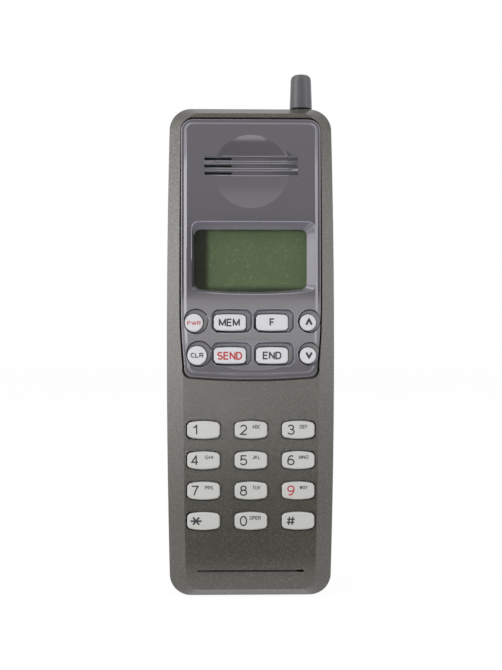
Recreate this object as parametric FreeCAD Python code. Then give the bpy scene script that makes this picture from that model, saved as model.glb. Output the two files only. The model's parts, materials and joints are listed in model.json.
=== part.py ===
"""Hand-held cellular telephone with a pull-out whip antenna and a slide-on battery.

The telephone stands on its foot. +Z runs from the foot to the top, the front
faces -Y, +X is to the right of someone who looks at the front, and the origin
is the bottom centre of the bounding box. The two housing halves meet in the
plane y = 0. All sizes are in millimetres.
"""
import FreeCAD
import Part
import math
import os

V = FreeCAD.Vector

# ---- housing ---------------------------------------------------------------
LENGTH = 172.3              # foot to top
WAIST_HALF = 29.55          # half width where the sides bow out most
WAIST_HEIGHT = LENGTH / 2
SIDE_BOW_R = 3300.0         # radius of the bowed sides
FOOT_CORNER_R = 7.5
TOP_CORNER_R = 7.7
FRONT_DEPTH = 11.7          # parting plane to the crest of the front face
BACK_DEPTH = 12.5           # parting plane to the flat back
BACK_EDGE = 2.6             # bevel round the flat back
CREST_HEIGHT = 0.61 * LENGTH    # height at which the crowned front stands out most
CROWN_R = 1650.0            # lengthwise radius of the front face
BEVEL_WIDTH = 5.9           # side bevel, seen from the front
BEVEL_DEPTH = 4.6           # bevel, seen from the side
FOOT_BEVEL = 2.9
TOP_BEVEL = 2.3
BEVEL_CORNER_R = 4.6        # corner radius of the plateau inside the bevel
WALL = 1.6
PAST_END = 20.0             # cutting forms pass the housing's ends by this much
OVERRUN = 0.15              # share by which cutting forms pass the face they cut

# ---- faceplate ---------------------------------------------------------------
PLATE_TOP_MARGIN = 4.3      # housing's edge to the faceplate
PLATE_SIDE_MARGIN = 5.15
PLATE_TOP = LENGTH - PLATE_TOP_MARGIN   # heights of the faceplate's edges
PLATE_FOOT = 0.447 * LENGTH
PLATE_HALF = WAIST_HALF - PLATE_SIDE_MARGIN
PLATE_DRAWN_IN = 25.8       # length over which the sides draw in
PLATE_TAPER = 1.2           # how far each side does so
PLATE_FOOT_SIDE = 4.0       # height of the corners at its foot
PLATE_STRAIGHT_TO = PLATE_FOOT + PLATE_DRAWN_IN
PLATE_TAPER_END = PLATE_FOOT + PLATE_FOOT_SIDE
PLATE_CORNER_R = 4.2
PLATE_FOOT_CORNER = 2.8
PLATE_FOOT_BOW = 1.2        # rise of the curved lower edge towards its corners
PLATE_RISE = 0.8            # how far the plate stands over the housing's crown
PLATE_BACK = 8.9            # parting plane to the back of the plate
PLATE_RIM = 1.0             # width of the lower step round the plate
PLATE_RIM_DROP = 1.3
PLATE_CHAMFER = 0.9
PLATE_GAP = 0.25            # round the plate, at its back
RECESS_FLARE = 0.75         # how much wider the recess is at the plate's face
SHELF_THICKNESS = 1.4       # web of the housing behind the plate
SHELF_LEDGE = 2.6

# ---- ear dish and speaker slots -----------------------------------------------
DISH_HEIGHT = 0.8793 * LENGTH
DISH_R = 13.0
DISH_DEPTH = 1.1
CAP_OVER_FACE = 1.0         # the dish's cutter stands this far past the face
GROOVE_COUNT = 3
GROOVE_PITCH = 2.54
GROOVE_LENGTH = 32.8
GROOVE_WIDTH = 1.5
GROOVE_DEPTH = 0.75
SLOT_LENGTH = 9.4           # open part at the left end of each groove
SLOT_WIDTH = 0.7
SLOT_INSET = 0.3            # groove's end to slot's end

# ---- display --------------------------------------------------------------------
WINDOW_X = 0.9
WINDOW_HEIGHT = 0.6924 * LENGTH         # centre of the window
WINDOW_MARGIN = 2.85        # faceplate's edge to the window
WINDOW_WIDTH = 2 * (PLATE_HALF - WINDOW_MARGIN)     # at the face
WINDOW_TALL = 25.4
WINDOW_CORNER_R = 2.3
WINDOW_BOW = 1.1            # sag of the lower edge
WINDOW_SLOPE = 1.75         # how far each wall leans in, on the average
WINDOW_SHIFT_X = -1.0       # the opening behind is off to the left and the foot by this much,
WINDOW_SHIFT_Z = -0.85      # so its right and upper walls lean in most
PANE_THICKNESS = 1.2
PANE_LEDGE = 1.2
PANE_GAP = 0.1
PANEL_THICKNESS = 2.0       # liquid crystal panel
PANEL_MARGIN = 2.4
GUIDE_THICKNESS = 1.6       # light guide
FRAME_WALL = 1.4
FRAME_GAP = 0.15

# ---- keys -----------------------------------------------------------------------
KEY_TRAVEL = 0.7
KEY_GAP = 0.3               # round a function key in its hole
NUMBER_GAP = 0.4            # round a number key in its hole
KEY_FLANGE = 0.6            # flange width behind the hole
KEY_FLANGE_THICKNESS = 0.7
KEY_SEAT = 0.15             # flange to the wall it rests behind
KEY_EDGE = 0.35             # bevel of the key's upper edge
FUNCTION_PROUD = 0.1        # over the faceplate
NUMBER_PROUD = 0.9          # over the housing's crown
STEM_INSET = 1.6            # stem inside the key's outline
PAD_CLEAR = 0.85            # stem to mat, more than the travel
PAD_RISE = 0.4
PAD_SPREAD = 0.4            # pad round the stem it meets
MAT_THICKNESS = 1.0
WELL_DEPTH = 2.1
WELL_GROW_X = 1.7           # wells are wider than their keys
WELL_GROW_Z = 1.35
ROUND_WELL_GROW = 1.4
WELL_FLOOR = 0.5            # floor round the key's hole
WELL_SHIFT_X = 0.65         # and open further to the right and the top
WELL_SHIFT_Z = 0.5
POWER_R = 3.2
CLEAR_R = 3.4
ARROW_R = 2.9
ROUND_KEY_MARGIN = 4.5      # faceplate's edge to the middle of the round keys
LONG_KEY_SPACE = 3.52       # between two long keys
ROUND_KEY_SPACE = 3.74      # between a long key and the power key
ROUND_KEY_X = PLATE_HALF - ROUND_KEY_MARGIN
LONG_KEY_WIDTH = ROUND_KEY_X - POWER_R - ROUND_KEY_SPACE - LONG_KEY_SPACE / 2
LONG_KEY_X = (LONG_KEY_SPACE + LONG_KEY_WIDTH) / 2
POWER_DROP = 0.1            # the power key sits this much lower than its row
CLEAR_SHIFT = 1.1           # and the clear key this much further in
UPPER_ROW = 0.5612 * LENGTH
LOWER_ROW = 0.4945 * LENGTH
LONG_KEY_TALL = 5.9
LONG_KEY_BOW = 0.35
NUMBER_WIDTH = 11.35
NUMBER_TALL = 6.3
NUMBER_BOW = 0.75
NUMBER_CORNER = 0.7         # corners cut back by this much
LONG_CORNER = 0.8
LEAST_CORNER = 0.2
NUMBER_MARGIN = 12.98       # side of the housing to the middle of the outer keys
NUMBER_PITCH_X = WAIST_HALF - NUMBER_MARGIN
NUMBER_ROWS = (("1", "2", "3"), ("4", "5", "6"), ("7", "8", "9"), ("star", "0", "hash"))
NUMBER_TOP_ROW = 0.3436 * LENGTH
NUMBER_LOW_ROW = 27.2       # height of the lowest row
NUMBER_PITCH_Z = (NUMBER_TOP_ROW - NUMBER_LOW_ROW) / (len(NUMBER_ROWS) - 1)
RELIEF_WIDTH = 22.0         # shallow panel round the two call keys
RELIEF_TALL = 11.0
RELIEF_BOW = 1.3
RELIEF_DEPTH = 0.35
RELIEF_CORNER = 0.9

# ---- microphone -------------------------------------------------------------------
MIC_SLOT_HEIGHT = 9.4
MIC_SLOT_MARGIN = 10.9      # side of the housing to the slot
MIC_SLOT_LENGTH = 2 * (WAIST_HALF - MIC_SLOT_MARGIN)
MIC_SLOT_WIDTH = 0.75
MIC_SLOT_DEPTH = 1.0
MIC_OPEN_LENGTH = 2.4
MIC_R = 3.0
MIC_BOOT_WALL = 0.7

# ---- boards -------------------------------------------------------------------------
BOARD_MARGIN = 5.15         # side of the housing to the boards
BOARD_TOP_MARGIN = 8.3
BOARD_HALF = WAIST_HALF - BOARD_MARGIN
BOARD_FOOT = 8.0
BOARD_TOP = LENGTH - BOARD_TOP_MARGIN
LOGIC_FRONT = 3.6           # parting plane forward to the logic board's face
BOARD_THICKNESS = 1.2
RADIO_FRONT = 1.0           # parting plane back to the radio board's face
RADIO_THICKNESS = 0.8
RADIO_FOOT = 14.0
SHIELD_HEIGHT = 2.2
SHIELD_WALL = 0.4
SHIELD_MARGIN = 1.4         # can to the board's side edges
SHIELD_RISE = 12.0          # radio board's foot to the can
SHIELD_FOOT = RADIO_FOOT + SHIELD_RISE
DUPLEXER_WIDTH = 26.0
DUPLEXER_TALL = 8.0
DUPLEXER_LEFT = -16.0
HEADER_WIDTH = 18.0         # header between the two boards
HEADER_TALL = 3.0
HEADER_LEFT = -20.0
PART_SPACE = 3.0            # between the parts of the radio board
CHIP_THICKNESS = 0.9
CHIPS = (                   # x, z, width and height of each chip
    (-13.0, 0.175 * LENGTH, 12.0, 12.0),
    (4.0, 0.197 * LENGTH, 14.0, 10.0),
    (-12.0, 0.5 * LENGTH, 16.0, 8.0),
    (6.0, 0.51 * LENGTH, 10.0, 10.0),
)
MAT_SIDE_MARGIN = 1.0       # mats to the board's side edges
MAT_HALF = BOARD_HALF - MAT_SIDE_MARGIN
MAT_MARGIN = 5.0            # mat past its outer rows of keys
BOOT_CLEAR = 0.1            # microphone boot to the housing
BOOT_FACE = 0.6             # its front wall

# ---- antenna ---------------------------------------------------------------------------
ANTENNA_MARGIN = 11.35      # side of the housing to the antenna
ANTENNA_X = WAIST_HALF - ANTENNA_MARGIN
TIP_R = 4.0
TIP_TOP_R = 3.65
TIP_OVER_TOP = 0.9          # housing to the tip
TIP_BASE = LENGTH + TIP_OVER_TOP
TIP_LENGTH = 12.3
TIP_DOME = 1.9
TIP_CAP = 3.0               # solid end of the tip above the whip
WHIP_R = 1.1
STOP_R = 1.4
STOP_LENGTH = 4.0
STOP_FLOOR = 1.0            # solid foot of the stop under the whip
BUSHING_R = 2.6
BUSHING_BORE_CLEAR = 0.04
BUSHING_DEPTH = 15.3        # below the housing's top
BUSHING_FOOT = LENGTH - BUSHING_DEPTH
BUSHING_COLLAR_R = 3.3
COLLAR_GAP = 0.05
BUSHING_FLANGE_R = 3.9
BUSHING_FLANGE_THICKNESS = 1.6
BUSHING_SEAT = 0.2          # flange to the wall above it
GUIDE_R = 1.9
GUIDE_BORE_R = 1.5
GUIDE_FLOOR = 1.0
GUIDE_FOOT = 58.0
STOP_OVER_GUIDE = 5.0       # stop over the foot of the guide with the antenna in
WHIP_FOOT = GUIDE_FOOT + STOP_OVER_GUIDE + STOP_FLOOR
BUSHING_ROOM = 0.3          # round the bushing's flange
FEED_WIDTH = 2.0
FEED_LIP = 1.0              # the feed strip to the bushing
FEED_THICKNESS = 0.3
FEED_RISE = 6.0             # the strip past the bushing's foot
TIP_SEAT = 0.2              # tip to the bushing's end

# ---- rear housing and battery -----------------------------------------------------------
BAY_WALL_FRONT = 2.0
BAY_WALL_BACK = 3.2
HEAD_LENGTH = 41.3          # full-depth head above the battery
BAY_TOP = LENGTH - HEAD_LENGTH
RADIO_TO_HEAD = 2.0
RADIO_TO_ANTENNA = 3.4
DUPLEXER_DROP = 28.0        # radio board's top to the duplexer's foot
RADIO_TOP = BAY_TOP - RADIO_TO_HEAD
RADIO_RIGHT = ANTENNA_X - RADIO_TO_ANTENNA
DUPLEXER_FOOT = RADIO_TOP - DUPLEXER_DROP
SHIELD_TOP = DUPLEXER_FOOT - PART_SPACE
BATTERY_GAP = 0.2           # bay wall to battery
BATTERY_TOP_GAP = 0.4
BATTERY_SKIN = 1.2
BATTERY_SPLIT = 8.0         # plane where tray and cover meet
BATTERY_TRAVEL = 6.0
LUG_MARGIN = 9.55           # side of the housing to the lugs
LUG_DROP = 13.0             # bay's top to the upper lugs' lower ends
LUG_X = WAIST_HALF - LUG_MARGIN
LUG_LENGTH = 5.0
UPPER_LUGS = BAY_TOP - LUG_DROP     # lower ends of the two rows of lugs
CELL_FOOT = 5.0
LOWER_LUGS = (UPPER_LUGS - CELL_FOOT) / 2
LUG_NECK = 2.4
LUG_HEAD = 5.0
LUG_HEAD_THICKNESS = 1.2
LUG_CLEAR = 0.3
CELL_MARGIN = 4.35          # side of the housing to the cells
CELL_SPACE = 0.6
CELL_WIDTH = (2 * (WAIST_HALF - CELL_MARGIN) - 2 * CELL_SPACE) / 3
CELL_PITCH = CELL_WIDTH + CELL_SPACE
CELL_THICKNESS = 6.0
CELL_EDGE = 1.5
CELL_TO_LUGS = 3.5          # lower cells to the lower lugs
LUG_ROOM = 1.5              # the battery's travel past a lug to the next cells
CELL_LENGTH = LOWER_LUGS - CELL_TO_LUGS - CELL_FOOT
CELL_ROWS = (CELL_FOOT, LOWER_LUGS + LUG_LENGTH + BATTERY_TRAVEL + LUG_ROOM)
PAD_X = (-11.0, -7.0, 7.0, 11.0)
PAD_DROP = 9.0              # bay's top to the middle of the pads
PAD_HEIGHT = BAY_TOP - PAD_DROP
PAD_ROOM = 0.6              # opening in the bay past each end of a pad
PAD_WIDTH = 2.6
PAD_LENGTH = 6.0
PAD_THICKNESS = 0.5
BLADE_WIDTH = 1.8
BLADE_THICKNESS = 0.3
BLADE_FOOT = 3.2            # half lengths of the blade at the board and at the pad
BLADE_TOP = 1.0
BLADE_GAP = 0.05            # blade to pad
GRIP_COUNT = 5              # thumb grooves in the battery's back
GRIP_PITCH = 2.6
GRIP_DROP = 7.0             # bay's top to the first groove
GRIP_TOP = BAY_TOP - GRIP_DROP
GRIP_HALF = 11.0
GRIP_DEPTH = 0.6

# ---- battery catch -----------------------------------------------------------------------
CATCH_RISE = 7.0            # bay's top to the middle of the button
CATCH_HEIGHT = BAY_TOP + CATCH_RISE
CATCH_HALF_WIDTH = 6.0
CATCH_HALF_TALL = 3.5
CATCH_CLEAR = 0.2
CATCH_ROOM = 1.0            # round the arm in the radio board
CATCH_LIP = 1.0             # flange round the button
CATCH_LIP_THICKNESS = 0.8
CATCH_SINK = 0.2            # button below the back
CATCH_WAY = 0.6             # round the arm in the bay wall
CATCH_STEM_R = 1.5
CATCH_RIB_FRONT = 3.0
CATCH_RIB_BACK = 4.2
CATCH_RIB_MARGIN = 2.0
CATCH_ARM_FRONT = 0.4
CATCH_ARM_BACK = 1.8
CATCH_ARM_HALF = 2.2
CATCH_TOOTH_DROP = 8.6      # bay's top to the tooth's foot
CATCH_TOOTH_FOOT = BAY_TOP - CATCH_TOOTH_DROP
CATCH_TOOTH_TIP = 4.2
CATCH_TOOTH_FLAT = 1.0
CATCH_RAMP = 1.0 / 6.0      # tooth flank, and how far the catch gives per unit of battery slide
CATCH_TOOTH_END = 2.2       # and to its upper end
CATCH_TOOTH_TOP = BAY_TOP - CATCH_TOOTH_END
CATCH_POCKET_WALL = 1.5
SPRING_FOLDS = 5
SPRING_THICKNESS = 0.3
SPRING_WIDTH = 1.5
SPRING_REACH = 4.0

# ---- screws --------------------------------------------------------------------------------
SCREW_MARGIN = 6.35         # side of the housing to the screws
SCREW_X = WAIST_HALF - SCREW_MARGIN
LOW_SCREWS = 20.0
HEAD_SCREW_RISE = 19.0      # bay's top to the screws of the head
SCREW_HEIGHTS = (LOW_SCREWS, BAY_TOP + HEAD_SCREW_RISE)
SCREW_R = 1.0
SCREW_HEAD_R = 1.9
SCREW_HEAD_THICKNESS = 1.3
SCREW_FIT = 0.03
SCREW_CLEAR = 0.2           # round a screw where it passes a wall or a board
SCREW_END = 0.4             # hole past the screw's end
SCREW_TIP = 2.5             # housing screws end this far behind the shelf
BOSS_R = 2.3
REAR_BOSS_R = 2.9
BOARD_SCREW_X = (-12.0, 12.0)
BOARD_SCREW_DROP = 5.0      # faceplate's foot to the board screws
BOARD_SCREW_HEIGHT = PLATE_FOOT - BOARD_SCREW_DROP
BOARD_SCREW_HEAD_R = 1.5
BOARD_SCREW_HEAD = 0.8
BOARD_SCREW_GRIP = 2.0      # thread in the housing's boss
BOARD_BOSS_R = 1.7
BOARD_SCREW_R = 0.8

# ---- earpiece, ringer, connector -------------------------------------------------------------
EARPIECE_MARGIN = 0.5       # inside the dish
EARPIECE_R = DISH_R - EARPIECE_MARGIN
GASKET_WIDTH = 2.5
GASKET_THICKNESS = 0.5
RINGER_X = -10.0
RINGER_DROP = 1.5
RINGER_HEIGHT = DISH_HEIGHT - RINGER_DROP
RINGER_R = 6.0
RINGER_THICKNESS = 2.8
CONNECTOR_HALF = 9.0
CONNECTOR_FRONT = 3.6
CONNECTOR_BACK = 1.2
CONNECTOR_INSET = 0.4       # its face lies this far inside the foot
CONNECTOR_CLEAR = 0.1
CONTACT_COUNT = 8
CONTACT_PITCH = 2.0
CONTACT_WIDTH = 1.2
CONTACT_FRONT = 2.8         # parting plane to the contacts' near and far edges
CONTACT_BACK = 0.4
CONTACT_DEPTH = 2.6

CORNER_STEPS = 4            # spans of a rounded corner, an even number
POST_SIDES = 8              # sides of the screw posts
DOME_STEPS = 3              # spans of the antenna tip's dome
SIDE_STEPS = 2              # spans of a bowed side, an even number
FAR = 60.0                  # past every surface
MERGE = 0.2                 # overlap of forms that are joined


# ---- shapes used by many pieces ----------------------------------------------------------------
def box(x0, x1, y0, y1, z0, z1):
    """Box between two corners."""
    return Part.makeBox(x1 - x0, y1 - y0, z1 - z0, V(x0, y0, z0))


def rod(x, z, r, y0, y1):
    """Round bar along Y."""
    return Part.makeCylinder(r, y1 - y0, V(x, y0, z), V(0, 1, 0))


def post(x, z, r, y0, y1, sides=POST_SIDES):
    """Bar along Y with flat sides, r from its axis to each."""
    reach = r / math.cos(math.pi / sides)
    angles = [math.pi * (2 * k + 1) / sides for k in range(sides + 1)]
    ring = [V(x + reach * math.cos(a), y0, z + reach * math.sin(a)) for a in angles]
    return Part.Face(Part.makePolygon(ring)).extrude(V(0, y1 - y0, 0))


def upright(x, y, r, z0, z1):
    """Round bar along Z."""
    return Part.makeCylinder(r, z1 - z0, V(x, y, z0), V(0, 0, 1))


def prism(wire, y0, y1):
    """Solid over a flat outline in an XZ plane, from y0 to y1."""
    flat = wire.copy()
    flat.translate(V(0, y0 - wire.Vertexes[0].Point.y, 0))
    return Part.Face(flat).extrude(V(0, y1 - y0, 0))


def joined(shapes):
    """One solid from shapes that touch or overlap."""
    whole = shapes[0]
    for shape in shapes[1:]:
        whole = whole.fuse(shape)
    return whole.removeSplitter()


def half_width(z):
    """Half width of the bowed housing at height z."""
    return WAIST_HALF - (z - WAIST_HEIGHT) ** 2 / (2 * SIDE_BOW_R)


def crown_y(z, rise=0.0):
    """Y of the crowned front at height z, moved outwards by rise."""
    radius = CROWN_R + rise
    return CROWN_R - FRONT_DEPTH - math.sqrt(radius ** 2 - (z - CREST_HEIGHT) ** 2)


def behind_crown(rise, back):
    """All that lies between the crowned front, moved outwards by rise, and the plane y = back."""
    low, high = -PAST_END, LENGTH + PAST_END
    first = V(-FAR, crown_y(low, rise), low)
    middle = V(-FAR, crown_y(CREST_HEIGHT, rise), CREST_HEIGHT)
    last = V(-FAR, crown_y(high, rise), high)
    edges = [
        Part.Arc(first, middle, last).toShape(),
        Part.LineSegment(last, V(-FAR, back, high)).toShape(),
        Part.LineSegment(V(-FAR, back, high), V(-FAR, back, low)).toShape(),
        Part.LineSegment(V(-FAR, back, low), first).toShape(),
    ]
    return Part.Face(Part.Wire(edges)).extrude(V(2 * FAR, 0, 0))


def behind_tangent(z, rise, back):
    """All that lies between the plane touching the crown at height z, moved out by rise, and y = back."""
    low, high = z - FAR, z + FAR
    slope = (z - CREST_HEIGHT) / math.sqrt(CROWN_R ** 2 - (z - CREST_HEIGHT) ** 2)
    front = crown_y(z, rise)
    points = [
        V(-FAR, front - slope * FAR, low),
        V(-FAR, front + slope * FAR, high),
        V(-FAR, back, high),
        V(-FAR, back, low),
        V(-FAR, front - slope * FAR, low),
    ]
    return Part.Face(Part.makePolygon(points)).extrude(V(2 * FAR, 0, 0))


def curve(points, level):
    """Smooth edge through (x, z) points, each at the depth that level(z) gives."""
    places = [V(x, level(z), z) for x, z in points]
    if len(places) == 2:
        return Part.LineSegment(places[0], places[1]).toShape()
    if level(0.0) == level(LENGTH):
        return Part.Arc(places[0], places[len(places) // 2], places[-1]).toShape()
    line = Part.BSplineCurve()
    line.interpolate(places)
    return line.toShape()


def corner(x, z, r, start):
    """Points of a quarter circle about (x, z), from the angle start."""
    angles = [math.radians(start + 90.0 * k / CORNER_STEPS) for k in range(CORNER_STEPS + 1)]
    return [(x + r * math.cos(a), z + r * math.sin(a)) for a in angles]


def chords(points):
    """A corner's points as two straight pieces."""
    middle = len(points) // 2
    return [points[:middle + 1:middle], points[middle::middle]]


def housing_outline(level, side=0.0, foot=0.0, top=0.0, foot_r=FOOT_CORNER_R, top_r=TOP_CORNER_R, plain=False):
    """Housing outline drawn in by side, foot and top, at the depth that level(z) gives.

    A plain outline has two straight pieces in each corner, for the inside of a shell.
    """
    low = foot + foot_r
    high = LENGTH - top - top_r
    foot_x = half_width(low) - side
    top_x = half_width(high) - side
    rises = [low + (high - low) * k / SIDE_STEPS for k in range(SIDE_STEPS + 1)]
    runs = [
        corner(foot_x - foot_r, low, foot_r, -90.0),
        [(half_width(z) - side, z) for z in rises],
        corner(top_x - top_r, high, top_r, 0.0),
    ]
    if plain:
        runs = chords(runs[0]) + [runs[1]] + chords(runs[2])
    left = [[(-x, z) for x, z in reversed(run)] for run in reversed(runs)]
    across = [[runs[-1][-1], left[0][0]]]
    closing = [[left[-1][-1], runs[0][0]]]
    return Part.Wire([curve(run, level) for run in runs + across + left + closing])


def flat(y):
    """Level function of a flat outline."""
    return lambda z: y


def back_form(inset, front, back):
    """Rear form of the housing, drawn in by inset, from y = front to y = back."""
    foot_r, top_r = FOOT_CORNER_R - inset, TOP_CORNER_R - inset
    wire = housing_outline(flat(front), inset, inset, inset, foot_r, top_r, inset > 0.0)
    return prism(wire, front, back)


def front_form(skin, parting=0.0):
    """Front form of the housing: upright sides, a bevel all round and a crowned face.

    skin moves every face inwards, and parting is the plane where the form ends.
    """
    reach = 1.0 + OVERRUN
    foot_r = FOOT_CORNER_R - skin
    top_r = TOP_CORNER_R - skin

    def shoulder(z):
        return crown_y(z) + skin + BEVEL_DEPTH

    def past_face(z):
        return crown_y(z) + skin - OVERRUN * BEVEL_DEPTH

    def bevelled(level):
        return housing_outline(
            level,
            skin + reach * BEVEL_WIDTH,
            skin + reach * FOOT_BEVEL,
            skin + reach * TOP_BEVEL,
            foot_r + reach * (BEVEL_CORNER_R - FOOT_CORNER_R),
            top_r + reach * (BEVEL_CORNER_R - TOP_CORNER_R),
            skin > 0.0,
        )

    wires = [
        housing_outline(flat(parting), skin, skin, skin, foot_r, top_r, skin > 0.0),
        housing_outline(shoulder, skin, skin, skin, foot_r, top_r, skin > 0.0),
        bevelled(past_face),
        bevelled(flat(-FRONT_DEPTH - 3.0)),
    ]
    form = Part.makeLoft(wires, True, True)
    return form.common(behind_crown(-skin, parting + 1.0))


def plate_outline(grow, y):
    """Outline of the faceplate, grown by grow, in the plane at y."""
    half = PLATE_HALF + grow
    top = PLATE_TOP + grow
    foot = PLATE_FOOT - grow
    r = PLATE_CORNER_R + grow
    low_half = half - PLATE_TAPER
    inner = low_half - PLATE_FOOT_CORNER
    foot_side = foot + PLATE_FOOT_BOW * (inner / PLATE_HALF) ** 2
    taper_middle = (PLATE_STRAIGHT_TO + PLATE_TAPER_END) / 2
    turn = 0.3 * PLATE_FOOT_CORNER

    def at(x, z):
        return V(x, y, z)

    def arc(a, b, c):
        return Part.Arc(at(*a), at(*b), at(*c)).toShape()

    def line(a, b):
        return Part.LineSegment(at(*a), at(*b)).toShape()

    slant = math.sqrt(0.5) * r
    right = [
        arc((inner, foot_side), (low_half - turn, foot_side + turn), (low_half, PLATE_TAPER_END)),
        arc((low_half, PLATE_TAPER_END), (half - PLATE_TAPER / 4, taper_middle), (half, PLATE_STRAIGHT_TO)),
        line((half, PLATE_STRAIGHT_TO), (half, top - r)),
        arc((half, top - r), (half - r + slant, top - r + slant), (half - r, top)),
    ]
    left = [edge.mirror(V(0, 0, 0), V(1, 0, 0)) for edge in reversed(right)]
    across = line((half - r, top), (r - half, top))
    sill = arc((-inner, foot_side), (0, foot), (inner, foot_side))
    return Part.Wire(Part.__sortEdges__(right + [across] + left + [sill]))


def barrel(width, tall, bow, cut, x, z, y):
    """Key outline about (x, z): upright sides, bowed top and bottom, corners cut back by cut."""
    half = width / 2
    side = tall / 2 - bow - cut
    start = half - cut
    rim = tall / 2 - bow * (start / half) ** 2
    edges = []
    for turn in (1, -1):
        at = [
            V(x + turn * u, y, z + turn * v)
            for u, v in ((half, -side), (half, side), (start, rim), (0, tall / 2), (-start, rim), (-half, side))
        ]
        edges.append(Part.LineSegment(at[0], at[1]).toShape())
        edges.append(Part.LineSegment(at[1], at[2]).toShape())
        edges.append(Part.Arc(at[2], at[3], at[4]).toShape())
        edges.append(Part.LineSegment(at[4], at[5]).toShape())
    return Part.Wire(edges)


def window_outline(inset, y, share=1.0):
    """Display window outline drawn in by inset: square at the top, bowed at the foot.

    Its centre is moved by share of the whole shift between the face and the opening behind.
    """
    x, z = WINDOW_X + share * WINDOW_SHIFT_X, WINDOW_HEIGHT + share * WINDOW_SHIFT_Z
    half = WINDOW_WIDTH / 2 - inset
    high = z + WINDOW_TALL / 2 - inset
    low = z - WINDOW_TALL / 2 + inset
    r = WINDOW_CORNER_R
    bend = (1 - math.sqrt(0.5)) * r

    def at(u, v):
        return V(x + u, y, v)

    def sill(u):
        return low + WINDOW_BOW * (u / half) ** 2

    corner_z = sill(half - r)
    edges = [
        Part.LineSegment(at(half, corner_z + r), at(half, high - r)).toShape(),
        Part.Arc(at(half, high - r), at(half - bend, high - bend), at(half - r, high)).toShape(),
        Part.LineSegment(at(half - r, high), at(r - half, high)).toShape(),
        Part.Arc(at(r - half, high), at(bend - half, high - bend), at(-half, high - r)).toShape(),
        Part.LineSegment(at(-half, high - r), at(-half, corner_z + r)).toShape(),
        Part.Arc(at(-half, corner_z + r), at(bend - half, corner_z + bend), at(r - half, corner_z)).toShape(),
        Part.Arc(at(r - half, corner_z), at(0, low), at(half - r, corner_z)).toShape(),
        Part.Arc(at(half - r, corner_z), at(half - bend, corner_z + bend), at(half, corner_z + r)).toShape(),
    ]
    return Part.Wire(edges)


def window_funnel():
    """Cutter of the display window, from past the back of the faceplate to past its face."""
    face = crown_y(WINDOW_HEIGHT, PLATE_RISE)
    wires = []
    for share in (1 + OVERRUN, -OVERRUN):
        wires.append(window_outline(share * WINDOW_SLOPE, face + share * (SHELF_FRONT - face), share))
    return Part.makeLoft(wires, True, True)


def slot(length, width, x, z, y0, y1):
    """Long narrow bar along X, centred on (x, z), from y0 to y1."""
    return box(x - length / 2, x + length / 2, y0, y1, z - width / 2, z + width / 2)


# ---- where things lie, worked out once ------------------------------------------------------------
SHELF_FRONT = -PLATE_BACK
SHELF_BACK = SHELF_FRONT + SHELF_THICKNESS
LOGIC_FACE = -LOGIC_FRONT
LOGIC_BACK = LOGIC_FACE + BOARD_THICKNESS
RADIO_FACE = RADIO_FRONT
RADIO_BACK = RADIO_FACE + RADIO_THICKNESS
MAT_FACE = LOGIC_FACE - MAT_THICKNESS
PAD_FACE = MAT_FACE - PAD_RISE
STEM_END = PAD_FACE - PAD_CLEAR
BATTERY_FRONT = BAY_WALL_BACK + BATTERY_GAP
BATTERY_INNER = BATTERY_FRONT + BATTERY_SKIN
BATTERY_TOP = BAY_TOP - BATTERY_TOP_GAP
TIP_TOP = TIP_BASE + TIP_LENGTH
BUSHING_TOP = TIP_BASE - TIP_SEAT
BUSHING_BORE_R = WHIP_R + BUSHING_BORE_CLEAR
SCREW_SEAT = BAY_WALL_BACK - SCREW_HEAD_THICKNESS - SCREW_CLEAR


# ---- keys -------------------------------------------------------------------------------------------
class Key:
    """One key: its name, centre and outline."""

    def __init__(self, name, x, z, width, tall=None, bow=0.0, cut=0.0):
        self.name = name
        self.x = x
        self.z = z
        self.width = width
        self.tall = tall
        self.bow = bow
        self.cut = cut

    def outline(self, grow, y, shift=(0.0, 0.0), grow_z=None):
        """Outline grown by grow, and by grow_z in height if given, with its centre moved by shift."""
        x, z = self.x + shift[0], self.z + shift[1]
        if self.tall is None:
            return Part.Wire(Part.Circle(V(x, y, z), V(0, 1, 0), self.width / 2 + grow).toShape())
        taller = grow if grow_z is None else grow_z
        cut = max(self.cut + 0.4 * grow, LEAST_CORNER)
        return barrel(self.width + 2 * grow, self.tall + 2 * taller, self.bow, cut, x, z, y)


def function_keys():
    """The eight keys in the faceplate."""
    long_size = (LONG_KEY_WIDTH, LONG_KEY_TALL, LONG_KEY_BOW, LONG_CORNER)
    return [
        Key("key_power", -ROUND_KEY_X, UPPER_ROW - POWER_DROP, 2 * POWER_R),
        Key("key_memory", -LONG_KEY_X, UPPER_ROW, *long_size),
        Key("key_function", LONG_KEY_X, UPPER_ROW, *long_size),
        Key("key_up", ROUND_KEY_X, UPPER_ROW, 2 * ARROW_R),
        Key("key_clear", CLEAR_SHIFT - ROUND_KEY_X, LOWER_ROW, 2 * CLEAR_R),
        Key("key_send", -LONG_KEY_X, LOWER_ROW, *long_size),
        Key("key_end", LONG_KEY_X, LOWER_ROW, *long_size),
        Key("key_down", ROUND_KEY_X, LOWER_ROW, 2 * ARROW_R),
    ]


def number_keys():
    """The twelve keys in the housing, in rows from the top."""
    keys = []
    for row, names in enumerate(NUMBER_ROWS):
        for column, name in enumerate(names):
            x = (column - 1) * NUMBER_PITCH_X
            z = NUMBER_TOP_ROW - row * NUMBER_PITCH_Z
            keys.append(Key("key_" + name, x, z, NUMBER_WIDTH, NUMBER_TALL, NUMBER_BOW, NUMBER_CORNER))
    return keys


def bevelled_head(key, rise):
    """Key head from the parting plane up to its face, with a bevelled upper edge."""
    head = prism(key.outline(0.0, 0.0), -FRONT_DEPTH - 5.0, 0.0).common(behind_tangent(key.z, rise, 0.0))
    front = min(head.Faces, key=lambda face: face.CenterOfMass.y)
    return head.makeChamfer(KEY_EDGE, front.Edges)


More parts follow.
